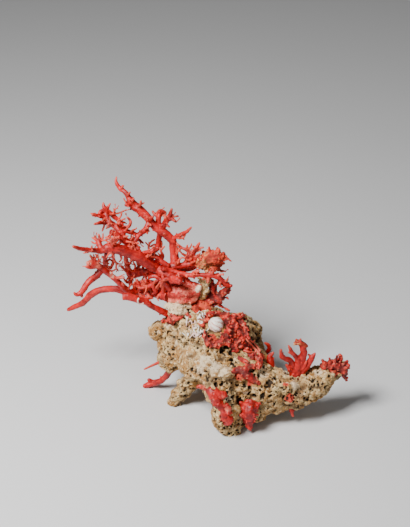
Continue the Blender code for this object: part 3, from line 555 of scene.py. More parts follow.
coral("coral_trunk", (
    ((184, 307, 84, 16), (184, 297, 86, 15), (180, 289, 88, 11), (172, 280, 90, 10), (163, 271.5, 92, 9.5),
     (155, 267, 92, 9)),
    ((166, 272, 92, 9), (171, 268, 94, 8.5), (175, 264, 97, 8)),
    ((158, 269, 90, 8), (164, 273.5, 84, 7.5), (171, 277.4, 78, 7.2), (179.5, 281, 68, 7)),
    ((168, 294, 82, 9), (176, 292.5, 80, 13), (186, 292.5, 79, 13), (196, 293, 80, 9)),
    ((170, 300, 80, 8), (182, 299, 76, 9), (193, 299, 78, 8)),
    ((194, 293, 80, 6), (198.5, 289, 80, 6)),
    ((200, 289, 81, 8), (192, 286, 83, 9), (183, 287, 85, 9)),
    ((167, 295, 84, 8), (166.5, 287, 87, 7), (163.5, 279, 90, 7), (159, 272, 92, 7)),
    ((190, 287, 84, 7), (186, 280, 88, 6), (180, 275, 91, 6)),
), stands_for="trunk", seed=2, nub_count=14000.0, nub_size=(0.0012, 0.0011, 0.6), swell=0.0019,
      pale=((176, 290, 78, 8, 0.4), (186, 290, 77, 9, 0.45), (196, 289, 79, 7, 0.5),
            (182, 296, 77, 7, 0.5), (199, 289, 77, 4.5, 1.3), (171, 303, 76, 6, 0.75),
            (179, 304, 74, 7, 0.8), (188, 304, 74, 6, 0.75), (196, 299, 76, 5, 0.7)))


# Upper branches of the fan: the spire with the highest tip, the curled and forked crown
# tips beside it, and the arm that drops across from the spire's fork. They grow thinner
# and paler to their tips, with short spikes where side twigs have started.
FAN_MIDDLE = 92
FAN_SPREAD = 1.8
FAN_THICKENED = 1.07


def fanned(branches):
    """Branches of the fan, their depths spread to either side of its middle plane."""
    return [[(right, down, FAN_MIDDLE + (back - FAN_MIDDLE) * FAN_SPREAD, thick * FAN_THICKENED)
             for right, down, back, thick in points] for points in branches]


# How thick a side twig is beside its stem, at its own fork and at its tip.
TWIG_SHARE, TWIG_THICKEST, TWIG_TIP = 0.6, 3.0, 1.3
FORKED_SHARE = 0.65


def sprouts(branches, count, seed, near=3.0, far=7.5):
    """The branches with this many short side twigs, drawn anywhere along them; many are
    forked. A stem that is only to lengthen a branch is added after them, since the draws
    depend on how many stems there are."""
    drawn = np.random.default_rng(seed)
    stems = [np.array(points) for points in branches]
    lengths = np.array([np.linalg.norm(np.diff(stem[:, :3], axis=0), axis=1).sum() for stem in stems])
    grown = [list(points) for points in branches]
    for _ in range(count):
        stem = stems[drawn.choice(len(stems), p=lengths / lengths.sum())]
        knot = drawn.integers(1, len(stem))
        root = stem[knot - 1] + (stem[knot] - stem[knot - 1]) * drawn.uniform()
        along = (stem[knot] - stem[knot - 1])[:3]
        along /= np.linalg.norm(along)
        side = drawn.normal(size=3)
        side -= along * (side @ along)
        way = side / np.linalg.norm(side) + along * 0.5
        reach = drawn.uniform(near, far) + root[3] / 2
        thick = min(root[3] * TWIG_SHARE, TWIG_THICKEST)
        fork = root[:3] + way * reach * 0.5
        tip = root[:3] + way * reach + drawn.normal(size=3) * reach * 0.2
        grown.append([(*root[:3], thick), (*fork, thick * 0.75), (*tip, TWIG_TIP)])
        if drawn.uniform() < FORKED_SHARE:
            tip = fork + (way + drawn.normal(size=3) * 0.8) * reach * 0.4
            grown.append([(*fork, thick * 0.7), (*tip, 1.2)])
    return grown


coral("coral_spire", sprouts(fanned((
    ((175, 263, 95, 8.4), (174, 254, 97, 7.4), (173.2, 246.5, 98, 7.2), (172.5, 241, 98.5, 7.2),
     (166.5, 234.6, 99, 7.4), (161.5, 231, 99.5, 7.2), (156.5, 228, 100, 7), (152.3, 223.6, 100.5, 6.8),
     (149.3, 219.5, 101, 7), (143, 213, 103, 7.6), (138.5, 209, 104, 8), (134, 205.5, 105, 8.2),
     (130.5, 200.5, 106, 6.2), (128, 196, 107, 5), (125, 192, 108, 4.2), (120, 188.2, 110, 3.8),
     (117, 184, 111, 3.2), (116, 180.5, 112, 2.6), (116.5, 177.3, 113, 1.8)),
    ((130.5, 203.5, 104, 5), (126.4, 204.9, 101, 3.2)),
    ((121.5, 189, 109, 2.6), (123.6, 185.4, 107, 1.6)),
    ((127.5, 195.5, 106, 2.8), (129.8, 192.4, 104, 1.6)),
    ((131.5, 201.5, 105, 3), (133.8, 198.6, 103, 1.8)),
    ((138.8, 207, 103, 2.8), (140.2, 204.6, 101, 2.2), (141, 201, 100, 1.6)),
    ((140, 205, 101, 2), (143.9, 203, 101, 1.6)),
    ((149.5, 220, 100, 5), (152.8, 216.4, 98, 2.4)),
    ((160.5, 231.5, 100, 5.5), (159, 238, 101, 5), (158.4, 243, 101, 4.8), (157, 248.5, 100, 4.6),
     (152, 252.3, 98, 4.4), (146.5, 254.6, 97, 3.4)),
    ((173.5, 238.5, 98, 4), (177, 236.3, 97, 3.6), (181.4, 234, 95, 3.2), (185.5, 232.4, 93, 3),
     (188.5, 230, 92, 2.6), (191, 227.6, 91, 2)),
    ((176, 237.5, 97, 2.4), (180, 238.2, 95, 2), (184.5, 236.6, 94, 1.8), (185.8, 232.8, 93, 1.6)),
    ((151, 253, 98, 2.8), (148.5, 247, 100, 2.2), (151, 242, 101, 1.8), (154.5, 239.6, 102, 1.3)),
    ((149, 246, 100, 1.9), (145.6, 242.5, 101, 1.3)),
    ((174, 250, 98, 2.4), (178.4, 248.6, 97, 1.9), (180.6, 251.6, 96, 1.4)),
    ((173, 245, 98, 2.2), (169.6, 246.4, 98, 1.4)),
    ((157.4, 246, 101, 3), (154, 244.6, 102, 2.2), (150.4, 246.6, 103, 1.5)),
    ((158.6, 240, 101, 2.6), (162, 243, 101, 1.9), (161, 247, 101, 1.4)),
    ((172.6, 243, 98, 3), (176, 246.6, 97, 2.4), (176.4, 251, 96, 1.6)),
    ((165, 233.6, 99, 3), (164.6, 237.4, 98, 1.6)),
)), 10, 3, 1.5, 3.5), stands_for="spire_branch", seed=3, nub_count=4200.0)
coral("coral_crown", sprouts(fanned((
    ((158.5, 229.5, 101, 5.6), (158.3, 222, 102, 5), (158.8, 216.5, 103, 4.6), (160, 212.5, 104, 4.2)),
    ((158.8, 217, 103, 3.4), (155, 214.6, 104, 2.6), (152.8, 211.4, 105, 1.8)),
    ((160, 213, 104, 3.4), (165, 212.2, 105, 2.6), (164.6, 217.4, 104, 1.8)),
    ((156.6, 213.4, 105, 2.4), (160, 209.8, 106, 2.2), (163.8, 211, 107, 1.8)),
    ((161.5, 229, 100, 5.6), (165.8, 221.6, 98, 5), (169.4, 216.5, 96, 4.4), (170.8, 212.5, 95, 3.4),
     (171.6, 209.2, 94, 2.2)),
    ((169.5, 217.5, 96, 3.6), (173, 219.6, 95, 3), (175.7, 221.8, 94, 2)),
    ((165.8, 224, 98, 3), (169.2, 227, 97, 2)),
)), 10, 4, 1.5, 3.5), stands_for="crown_branch", seed=4, nub_count=5000.0)
coral("coral_cross_arm", sprouts(fanned((
    ((149.2, 220, 101, 5), (147.6, 225.5, 99, 4.6), (144.6, 230.4, 97, 4.6), (138.8, 234.8, 95, 4.6),
     (136, 239.8, 93.5, 4.2), (134, 244.4, 92.5, 2.8)),
    ((145, 230.4, 97, 2.4), (147.6, 233.6, 96, 1.5)),
    ((146.4, 228, 98, 2.4), (149.8, 231.2, 97, 1.5)),
    ((158.6, 247.6, 92, 3.6), (151, 251.4, 91, 4), (144, 252.6, 90, 3.6)),
)), 9, 5), stands_for="cross_branch", seed=5, nub_count=6000.0)


# Left branches of the fan: the thick great branch with its thin end and curls, the horned
# cluster above it, and the branch behind it.
coral("coral_great_branch", sprouts(fanned((
    ((153, 266, 91, 10.2), (146, 261.6, 89.5, 9.8), (138.8, 256.8, 88, 9.6), (130, 253, 86.5, 9.2),
     (121, 249.8, 85, 8.8), (114, 248.6, 84, 8.8), (107.5, 248.4, 83, 8.8)),
    ((106, 249.6, 83, 6), (100.4, 251, 82, 5), (95.5, 250.4, 80, 4.4), (88.6, 249.8, 77, 4),
     (80.6, 248.8, 73, 3.6), (73.4, 246.6, 69, 2.4)),
    ((91.9, 249.6, 78, 2.4), (91.7, 246.2, 77, 1.6)),
    ((102, 250.6, 83, 5.4), (100, 246, 85, 5.2), (98.6, 241.4, 87, 4.8)),
    ((98.4, 241.6, 87, 3), (95.6, 239.4, 88, 2.4), (92.4, 237.6, 89, 1.6)),
    ((98.8, 241, 87, 3), (99.4, 237.6, 88, 2.4), (98.4, 234.4, 89, 1.6)),
    ((99.6, 240.6, 87, 2.6), (102.6, 238.2, 88, 2), (103, 233.8, 89, 1.5)),
    ((112.4, 246.8, 82, 3.4), (111.2, 241.8, 81, 2.4), (112.4, 237.8, 80, 1.6)),
    ((106.6, 252.5, 84, 3.8), (104.8, 260.6, 86, 3.4), (104.4, 266.6, 88, 3)),
    ((105, 262, 86, 2.2), (110, 259.6, 88, 2), (113.4, 262.8, 89, 1.8), (111.6, 267.4, 89, 1.8)),
    ((101, 241, 87, 2), (105, 240.4, 87, 1.6), (109, 242, 87, 1.3)),
    ((106.4, 262, 86, 1.8), (108.6, 266.4, 87, 1.6), (112.4, 265.4, 88, 1.5), (112.4, 261.4, 88, 1.4),
     (109.4, 259.6, 88, 1.2)),
    ((112.4, 244, 81, 2.2), (115.6, 240.2, 82, 1.8), (117.6, 236, 83, 1.3)),
    ((112.2, 240, 80.5, 1.8), (109.6, 236.8, 80, 1.3)),
    ((98.4, 243, 87, 2.2), (94.4, 243.4, 87, 1.7), (91.4, 241.6, 87, 1.2)),
    ((95.8, 239.6, 88, 1.8), (94.8, 235.8, 89, 1.2)),
    ((104.6, 258, 86, 2.4), (100.6, 256.6, 86, 1.7), (98.4, 259.6, 87, 1.5), (100.4, 262.4, 87, 1.2)),
    ((104.4, 266, 88, 2.6), (107.6, 270.4, 88, 2), (112.6, 271, 88, 1.7), (116.4, 268.4, 88, 1.3)),
    ((113, 252, 84, 3.4), (113.6, 259, 84, 2.4), (117, 263.4, 85, 1.9), (121.6, 264, 86, 1.4)),
    ((117, 263, 85, 2), (116, 267.6, 86, 1.7), (118.6, 271.2, 87, 1.3)),
    ((120, 252, 85, 3), (121.4, 258.6, 85, 2.2), (119.4, 261.6, 85, 1.5)),
    ((108, 261, 88, 1.8), (106, 264.6, 88, 1.6), (108, 268.4, 88, 1.5), (111.6, 268.6, 88, 1.2)),
    ((126, 254, 86, 3.4), (125, 260.4, 86, 2.4), (127.4, 263, 87, 1.6)),
    ((134, 254, 87, 3), (135.4, 249.6, 87, 2.2), (133.4, 247, 87, 1.5)),
    ((145, 260, 89, 3), (147.6, 256, 88, 2.4), (151, 255.4, 87, 1.6)),
    ((149, 262, 92, 4.4), (154, 256, 93, 4.2), (161, 261, 92, 4.6), (168, 266, 91, 5)),
    ((160, 262, 95, 3.4), (163, 256, 96, 3), (161, 250.6, 97, 2.2), (164.4, 246.6, 97, 1.5)),
    ((143, 256, 90, 3.6), (138, 249, 92, 3.4), (132, 244, 94, 3.4)),
)), 34, 6) + fanned((((159, 269, 91.8, 8), (153, 266, 91, 10.2)),)),
      stands_for="great_branch", seed=6, nub_count=3000.0)
coral("coral_horned_cluster", sprouts(fanned((
    ((131.6, 254, 87, 6.6), (130, 247.6, 90, 6.4), (127.5, 243, 92, 6.2), (123, 237, 92.5, 6.2),
     (120, 231.5, 94, 6), (115, 226.3, 96, 5.6), (108.6, 221.2, 98, 5.4), (106, 215, 100, 5),
     (105, 209, 102, 4.6)),
    ((110.2, 231.2, 88, 4.6), (117.5, 235.6, 89, 5.2), (123.8, 240.4, 90, 5.4), (128, 244.5, 91, 5.4)),
    ((105.4, 209.5, 102, 4.2), (103.6, 206, 103, 3), (103.2, 203.2, 104, 1.8)),
    ((105.8, 209, 102, 3.6), (108.2, 207.2, 103, 2.8), (110, 203.8, 104, 1.7)),
    ((104.8, 210.8, 101, 4.6), (101.6, 211.2, 100, 3.8), (99.6, 213, 99, 3)),
    ((106.3, 216.5, 100, 4), (102, 216.4, 98, 3.6), (97.5, 215.4, 96, 3.4), (92.7, 214.4, 94, 2.4)),
    ((108, 221.6, 98, 4), (104, 222.6, 97, 3.8), (99.5, 222.8, 95, 3.4), (94.7, 223.9, 93, 2.2)),
    ((108.6, 214.6, 101, 2.6), (113.5, 213.8, 102, 2), (118.6, 213, 103, 1.7), (125, 210.2, 104, 1.4)),
    ((107, 210.5, 102, 4.2), (112.5, 215.4, 103, 4.2), (117.4, 219.4, 103, 4), (121.5, 224, 102, 3.8),
     (121.6, 229.4, 98, 3.8)),
    ((123, 227.4, 101, 2.8), (128.4, 226.6, 101, 2.8), (130.6, 222.6, 101, 2.6), (129.6, 219.6, 102, 2.2),
     (127.4, 217.5, 103, 1.7)),
    ((121, 231.4, 94, 4.2), (126, 231, 94.5, 4), (131, 232.4, 95, 3.8), (137, 234.6, 95.5, 3.4)),
    ((123, 237, 92.5, 3.6), (120.6, 242, 91, 2.8), (116, 245, 90, 1.8)),
    ((127.5, 243, 92, 3.4), (131.6, 240.6, 93, 2.4), (134.6, 243, 93, 1.6)),
    ((117.4, 219.4, 103, 2.6), (120.6, 216.6, 103, 1.9), (121.6, 213.4, 103, 1.3)),
    ((112.5, 215.4, 103, 2.6), (114.6, 211.4, 103, 1.9), (113.6, 208.4, 103, 1.3)),
    ((115, 226.3, 96, 3.4), (118.6, 224.4, 95, 2.4), (120.4, 220.4, 95, 1.5)),
    ((112, 232.4, 88, 3.4), (109.4, 236.4, 87, 2.4), (105.4, 237.4, 87, 1.5)),
    ((124, 244, 93, 4), (130, 240, 95, 3.4), (137, 239, 97, 2.8), (143, 243, 98, 2)),
    ((119, 238, 95, 3.6), (113, 241, 96, 3), (108, 246, 96, 2.2), (103, 247, 96, 1.5)),
)), 30, 7), stands_for="upper_left_branch", seed=7, nub_count=4200.0)
coral("coral_middle_branch", sprouts(fanned((
    ((156, 269.5, 95, 8), (148.4, 272.2, 97, 7.4), (140.4, 272.6, 98, 7), (133, 274.8, 99, 7),
     (129.4, 273.4, 99, 6), (127.2, 266, 100, 5), (126, 259.5, 101, 4.2)),
    ((130.6, 274.6, 98, 4.6), (130.8, 280, 98, 4.2), (130.6, 284, 98, 3.6)),
    ((144, 273, 97, 3), (146, 277.6, 96, 2)),
    ((129.4, 273.4, 99, 3.4), (125.4, 270.6, 98, 2.4), (122, 266.6, 97, 1.9), (118.6, 266, 96, 1.3)),
    ((127.2, 266, 100, 3), (130.6, 262.6, 100, 2.2), (131.6, 258.8, 101, 1.5)),
    ((131, 280, 98, 3), (127.4, 282.6, 97, 2.4), (124.6, 280, 96, 1.9), (123, 276.6, 96, 1.3)),
    ((133, 275, 99, 3.6), (134.6, 269.6, 100, 2.8), (139, 266.6, 101, 2.2), (142, 262.8, 102, 1.5)),
    ((144, 273, 97, 3.6), (143, 266.6, 98, 2.4), (146.4, 262, 99, 1.6)),
    ((139, 266.6, 101, 2.6), (137, 261, 103, 2), (139.6, 256.4, 104, 1.5)),
)), 26, 8) + fanned((((162, 271, 92.8, 6), (156, 269.5, 95, 8)),)),
      stands_for="middle_branch", seed=8, nub_count=4500.0)


# Low branches of the fan: the knotted tangle beside the trunk and the long stems that
# reach out of it to the left. One stem carries a patch of white crust.
coral("coral_tangle", sprouts(fanned((
    ((168, 297, 84, 9), (158, 294, 89, 8), (150, 292, 91, 8), (142, 290.6, 91, 8), (134, 291.6, 90, 7)),
    ((162, 290, 89, 6), (156, 284.6, 91, 5.5), (149, 282.6, 92, 5), (141, 283, 92, 5), (136, 287.6, 92, 5)),
    ((150, 290, 90, 4.5), (148, 284, 90, 4)),
    ((163.4, 296, 85, 3.4), (163.2, 290, 84, 3), (162.3, 285, 83, 2)),
    ((141, 291, 88, 4.5), (139, 285, 88, 4), (137, 280.4, 88, 2.4)),
    ((156, 292, 86, 4), (153, 286, 85, 3), (155, 281, 85, 2)),
    ((150, 289, 88, 3), (147, 286, 86, 2.2), (144.5, 287.5, 85, 1.5)),
    ((156, 291, 87, 3), (158, 287, 86, 2.2), (160.5, 284.5, 86, 1.4)),
    ((143, 289, 88, 3), (144.5, 284, 87, 2.2), (142, 280.5, 87, 1.4)),
    ((135, 289, 89, 2.8), (133.5, 284.5, 88, 2), (135.5, 281.6, 88, 1.4)),
    ((160, 294, 86, 2.8), (157.6, 297.5, 84, 2), (158.5, 300.5, 83, 1.4)),
    ((147, 293, 88, 2.8), (149.5, 296.6, 86, 2), (153, 298.6, 85, 1.4)),
    ((139, 292, 88, 2.6), (141.5, 295.5, 87, 1.9), (145, 297, 86, 1.4)),
    ((165, 285, 86, 4.5), (160, 279, 88, 4), (154, 276, 89, 3.6), (149, 277.6, 90, 2.6)),
    ((158, 281, 88, 4), (152, 285, 87, 3.8), (146, 287.6, 86, 3.4), (139, 288, 86, 2.6)),
    ((170, 290, 84, 4.5), (165.6, 284, 83, 4), (163, 277, 84, 3)),
    ((147, 279, 91, 3.6), (143, 284, 90, 3.4), (142.6, 289, 89, 3.2)),
    ((153, 297, 87, 3.6), (146, 298, 86, 3.2), (140, 296, 86, 2.6)),
    ((172, 283, 82, 3.6), (168, 278.6, 82, 3.2), (163, 281, 82, 2.8), (161, 286, 83, 2.2)),
)), 16, 9), stands_for="tangle", seed=9, nub_count=4000.0, nub_size=(0.0022, 0.0011, 0.5), swell=0.0009)
coral("coral_lower_left_branch", sprouts(fanned((
    ((129, 292.4, 86, 5.6), (125.6, 289, 86, 5.4), (121.2, 284.6, 85, 5.2), (116, 279.8, 84, 5),
     (109.4, 274.2, 83, 5), (103.4, 269.8, 81, 5.4), (97.4, 265.6, 79, 6), (91.5, 263.4, 77, 5),
     (88.4, 263, 76, 3.6)),
    ((95, 266.8, 78, 4), (90, 267, 76, 3.6), (86.6, 266.8, 75, 2.4)),
    ((96.4, 263, 79, 3.8), (93.4, 259.4, 78, 2.8), (91, 256.6, 77, 2.2), (89, 254.2, 76, 1.6)),
    ((97.6, 262.8, 79, 3), (99.6, 259.6, 79, 2.2), (101, 256.2, 79, 1.6)),
    ((114.6, 277.8, 84, 2.8), (119, 277.8, 82, 2.2), (123.6, 277.4, 81, 1.8)),
)), 12, 10, 2.0, 6.0) + fanned((
    ((138, 291.8, 90.2, 4.4), (133.5, 292.4, 87.8, 5.4), (129, 292.4, 86, 5.6)),
)), stands_for="lower_left_branch", seed=10,
      pale=((112, 275.5, 76, 3, 1.0), (110, 273, 75, 2.6, 1.0), (89, 254.2, 63, 3, 1.0),
            (101, 256.2, 68, 3, 1.0), (88.6, 263, 63, 3, 0.9), (97, 265, 67, 5, 0.5)))
coral("coral_lower_left_fork", fanned((
    ((101, 270.6, 80.5, 6), (96.4, 275.8, 79, 6), (91.4, 279.6, 77, 5.8), (86.8, 284, 75, 5.6),
     (84, 289, 73, 5.2), (80.4, 293.2, 71, 4.6), (76.6, 294.6, 70, 3.6), (74.4, 293.2, 69.5, 2.4)),
    ((81, 292.6, 71.5, 3.6), (81.8, 296, 71, 2.4)),
)), stands_for="lower_left_fork", seed=11, nub_count=1200.0)
coral("coral_long_lower_branch", fanned((
    ((139, 291.6, 90.6, 5), (134, 293, 92.2, 6.2), (129, 293.4, 93, 6.4), (121, 290.2, 94, 6.2),
     (114, 288.8, 95, 6), (105.9, 289.2, 97, 6), (97, 291.2, 98, 6.2), (90.4, 295, 99, 6.4),
     (86.4, 299.8, 100, 5.6), (81, 304, 101, 5.2), (74.6, 306.8, 102, 4.8), (68.4, 309.6, 102.5, 3.2)),
)), stands_for="long_lower_branch", seed=12, nub_count=900.0)
coral("coral_broken_branch", (
    ((122.4, 296.8, 70, 6.4), (128, 296.6, 70.5, 7), (134, 298.2, 71.5, 6.8), (140, 300.4, 73, 6.2),
     (145.6, 301.8, 75, 5.8), (151, 305.4, 77, 5.6), (158, 309, 79, 5.8), (170, 315, 84, 7)),
), stands_for="broken_branch", seed=13, nub_count=900.0, pale=((140.4, 303, 72, 3, 0.7),))


# Right branches of the fan: two stems and their twigs, and at their ends a tan-orange
# growth of sponge and crumbs over the coral.
sponge, tree, place = new_finish("orange_sponge")
tan = mixed(tree, ramp(tree, noise(tree, place, 150, 3), 0.42, 0.58),
            colour(190, 36, 16), colour(216, 70, 34))
tan = tinted(tree, tan, noise(tree, place, 330, 3), 0.6, 0.7, 0.6, colour(222, 160, 104))
sandy = calc(tree, "ADD", seen(tree, "pale"), either_way(tree, noise(tree, place, 260, 3), 0.8))
sand = mixed(tree, ramp(tree, noise(tree, place, 240, 3), 0.4, 0.6),
             colour(198, 116, 60), colour(226, 168, 108))
tan = tinted(tree, tan, sandy, 0.35, 0.65, 0.9, sand)
fine_pore = pored(tree, place, 620, 0.36, 0.18, 0.5, 0.55)
# Painted shade in the fine pores and where the skin sinks below its tube; painted highlight where it stands
# proud.
tan = mixed(tree, times(tree, fine_pore, 0.7), tan, colour(110, 40, 24))
tan = tinted(tree, tan, seen(tree, "proud"), 0.0003, -0.0009, 0.7, colour(100, 28, 12))
tan = tinted(tree, tan, seen(tree, "proud"), 0.0009, 0.0022, 0.5, colour(240, 158, 108))
height = calc(tree, "SUBTRACT", noise(tree, place, 800, 4, 0.6), fine_pore)
end_finish(tree, tan, ramp(tree, noise(tree, place, 200), 0.3, 0.7, 0.75, 0.92), height, 0.8, 0.0005)
coral("coral_right_lower_branch", sprouts(fanned((
    ((162, 268.6, 86, 4.6), (171, 270.8, 87, 4.2), (181.2, 273.4, 86, 4.2), (191.4, 275.4, 85, 4.2),
     (198, 274.8, 84.5, 4), (205, 275, 84, 4.2), (211.5, 275.4, 84, 4.4), (217, 277, 84, 4.4),
     (222.6, 280.4, 84, 4), (226, 284.4, 84, 3.8), (231, 285.6, 85, 2.8)),
    ((205, 275, 84, 2.6), (208.6, 278.6, 83, 2), (207.6, 282.6, 82, 1.4)),
    ((217, 277, 84, 2.4), (220, 274.4, 83, 1.8), (223.4, 275, 82, 1.3)),
    ((191.4, 275.4, 85, 3), (194.6, 271.6, 84, 2.2), (199, 271.4, 83, 1.5)),
    ((211.5, 275.4, 84, 3), (213.6, 270.6, 83, 2.2), (211.4, 267.6, 83, 1.5)),
    ((222.6, 280.4, 84, 2.8), (219.6, 283.6, 83, 2), (221.4, 287.6, 82, 1.4)),
)), 16, 14, 2.0, 5.0), stands_for="right_lower_branch", seed=14, nub_count=5000.0)
coral("coral_right_upper_branch", sprouts(fanned((
    ((170, 266.4, 93, 6.4), (178.7, 266.4, 92, 6), (186, 265, 92, 5.8), (191.4, 263.8, 92, 5.4),
     (197, 262.6, 92, 4.8)),
    ((176, 267.6, 94, 4.6), (184, 269.4, 96, 4.4), (192, 268.4, 97, 4.2), (196, 266, 96, 4)),
    ((184, 265, 92, 4), (187.6, 258.6, 93, 3.8), (189.2, 253.4, 94, 3.6), (186, 249.6, 95, 3),
     (181.4, 247.6, 96, 2.6), (176.6, 243.4, 97, 1.8)),
    ((185.8, 249.6, 95, 2.4), (187.5, 245.3, 94, 1.6)),
    ((189.6, 261.5, 93, 4.2), (193.4, 253.4, 92, 3.8), (196.4, 248.2, 91, 3.2), (199.4, 242.8, 90, 1.8)),
    ((196.2, 248.6, 91, 2.6), (203, 247.5, 90, 1.7)),
    ((186, 256, 93, 2.8), (182, 253.5, 92, 2), (179, 250, 91, 1.4)),
    ((192, 256, 92, 2.6), (196.6, 256.4, 91, 1.9), (200, 253.6, 90, 1.3)),
    ((188, 262, 92, 2.6), (191.6, 258.4, 91, 1.6)),
    ((196.2, 250, 91, 2.2), (193, 246, 90, 1.4)),
    ((180, 266.4, 92, 3.4), (178.6, 261, 91, 2.4), (181.6, 257.6, 91, 1.8), (185, 258.4, 91, 1.3)),
    ((186, 249.8, 95, 2.6), (190, 247.6, 94, 1.8), (191.6, 244, 94, 1.3)),
    ((181.4, 247.6, 96, 2.4), (178.4, 250.4, 95, 1.8), (176.6, 255, 95, 1.3)),
    ((194, 262.8, 92, 3.4), (196.6, 257, 91, 2.4), (200.6, 258.4, 90, 1.5)),
    ((193.4, 253.4, 92, 2.8), (189.6, 250.6, 92, 1.9), (190.6, 246.4, 92, 1.3)),
)), 16, 15, 2.0, 5.0), stands_for="right_upper_branch", seed=15, nub_count=6000.0)
coral("spongy_cluster_growth", fanned((
    ((199.5, 265, 92, 9), (203, 262, 91, 11), (209, 258, 91, 12), (215, 257, 90, 11), (220, 258, 90, 8)),
    ((204, 267, 92, 8), (212, 266, 92, 9), (218, 264, 92, 9)),
    ((209, 255, 91, 5), (209.2, 251, 91, 2.8), (209.3, 247.6, 91, 1.6)),
    ((216, 254, 90, 6), (218, 250.4, 90, 4)),
    ((221, 257, 90, 5), (224, 253.8, 90, 3)),
    ((220, 259.6, 90, 4), (224, 258.2, 90, 3), (227.4, 258.6, 89, 2.4), (231, 261.4, 88, 1.6)),
    ((216, 267, 92, 4), (221, 271, 92, 3), (228, 269.8, 91, 1.8)),
)), slot="spongy_coral", stands_for="spongy_cluster", finish=sponge, seed=16, nub_count=26000.0,
      nub_size=(0.0024, 0.0013, 0.6), swell=0.0026,
      pale=((203, 262, 91, 9, 0.9), (206, 256, 90, 5, 0.7), (205, 268, 92, 6, 0.8), (214, 260, 88, 5, 0.4)))


# Loop cluster: knobby, crumbly red coral behind the barnacle, its stems grown together in
# a loop.
crumbs, tree, place = new_finish("crumbly_red_coral")
red = mixed(tree, ramp(tree, noise(tree, place, 150, 3), 0.4, 0.6), colour(182, 18, 11), colour(222, 60, 38))
red = tinted(tree, red, noise(tree, place, 360, 3), 0.56, 0.66, 0.75, colour(224, 150, 116))
red = tinted(tree, red, noise(tree, place, 430, 2), 0.45, 0.36, 0.85, colour(84, 14, 8))
# Painted shade where the skin sinks below its tube.
red = tinted(tree, red, seen(tree, "proud"), 0.0007, -0.0006, 0.85, colour(74, 8, 4))
end_finish(tree, red, ramp(tree, noise(tree, place, 200), 0.3, 0.7, 0.6, 0.85),
           noise(tree, place, 800, 4, 0.6), 0.8, 0.0005)
coral("coral_loop_cluster", (
    ((208, 306, 84, 13), (212, 297, 89, 10), (213, 289, 90, 8), (211, 282, 91, 6)),
    ((217, 297, 88, 8), (223, 292, 88, 5), (226, 288.6, 90, 4)),
    ((224, 292, 87, 3.6), (229, 293.4, 86, 2)),
    ((219, 298, 87, 5), (223.6, 299, 86, 2.6)),
    ((214, 302, 83, 4), (222, 306.4, 82, 2.2), (229.4, 310.6, 80, 1.5)),
    ((213, 290, 90, 2.8), (209, 286.6, 90, 2), (207.6, 282.6, 90, 1.4)),
    ((214, 286, 90, 2.6), (218, 283.6, 90, 2), (221, 285.6, 90, 1.4)),
    ((222, 293, 88, 2.4), (224.5, 297, 87, 1.8), (228, 298.6, 86, 1.3)),
    ((212, 300, 86, 2.6), (216, 303, 84, 1.9), (219.6, 302, 83, 1.3)),
    ((210, 292, 89, 2.6), (206.6, 290, 89, 1.6)),
    ((226, 289, 90, 2.2), (229, 286.6, 90, 1.6), (228.4, 283.6, 90, 1.2)),
    ((206, 300, 84, 6), (204, 292, 86, 5), (206, 284, 88, 4.4), (210, 279, 89, 3)),
    ((217, 273, 89, 3), (219, 277, 88, 3.6), (221.6, 282.6, 88, 4.4), (227, 284.6, 88, 4.8),
     (229, 288, 88, 4.2), (225.6, 292, 87, 4.4), (221, 297, 86, 5.6), (215.6, 302, 84, 7)),
    ((224, 285, 88, 3), (226.6, 281.6, 88, 1.8)),
    ((228, 286, 88, 3), (231.6, 286, 88, 1.8)),
    ((208, 302, 83, 6), (215, 301, 82, 5), (221, 302.6, 81, 3)),
), stands_for="loop_cluster", finish=crumbs, seed=17,
      nub_count=16000.0, nub_size=(0.0014, 0.0013, 0.7), swell=0.0016)


# Growths on the rock: chalky and tan crusts, the sponge lump by the barnacle, the crumbly
# red coral around it with pale stems across, and the red ridge. Red coral also runs down
# the front foot, which ends in a spiky knob.
def laid_on_rock(paths):
    """Paths of (right, down, proud, thick) as branches that stand this proud of the rock."""
    branches = []
    for path in paths:
        met = None
        branch = []
        for right, down, proud, thick in path:
            met = on_rock(right, down, met)
            branch.append((right, down, (met.y - SHEET_FOOT.y) * 1000 - proud, thick))
        branches.append(branch)
    return branches


def pale_on_rock(places, strength):
    """Pale spots at these (right, down, proud, radius) places of the rock."""
    return [(*place, strength) for place in laid_on_rock((places,))[0]]


# The crusts have the rock's finish, which reads how high and how white they are. At this
# middle height they take neither its painted shade nor its painted highlight.
CRUST_RISE = 0.5
for name, white, seed, branches in (
    ("chalky_crust", 1.0, 35, laid_on_rock((
        ((190, 305, 2, 6), (182, 306, 3, 7), (174, 306, 3, 7), (168, 306, 2, 6)),
        ((170, 311, 1, 6), (178, 312, 2, 6), (186, 312, 1, 5)),
        ((176, 302, 4, 5), (185, 301.6, 4, 5), (192, 300, 4, 4)),
    ))),
    ("tan_crust", 0.2, 31, (
        ((203, 298, 84, 8), (203.4, 290, 85, 8), (204.4, 282, 87, 7), (207, 276, 88, 4)),
        ((203.4, 292, 85, 5), (199.6, 288, 84, 4)), ((204, 285, 86, 5), (208.4, 281.4, 86, 4)),
        ((203.4, 289, 84, 5), (207.4, 290.6, 83, 4)), ((204, 282, 86, 5), (200.4, 278.6, 86, 3)),
    )),
):
    crust = coral(name, branches, slot="rock", finish=stone, seed=seed, nub_count=30000.0,
                  nub_size=(0.0022, 0.0011, 0.7), swell=0.0028).data
    mark(crust, "rise", np.full(len(crust.vertices), CRUST_RISE))
    mark(crust, "white", np.full(len(crust.vertices), white))
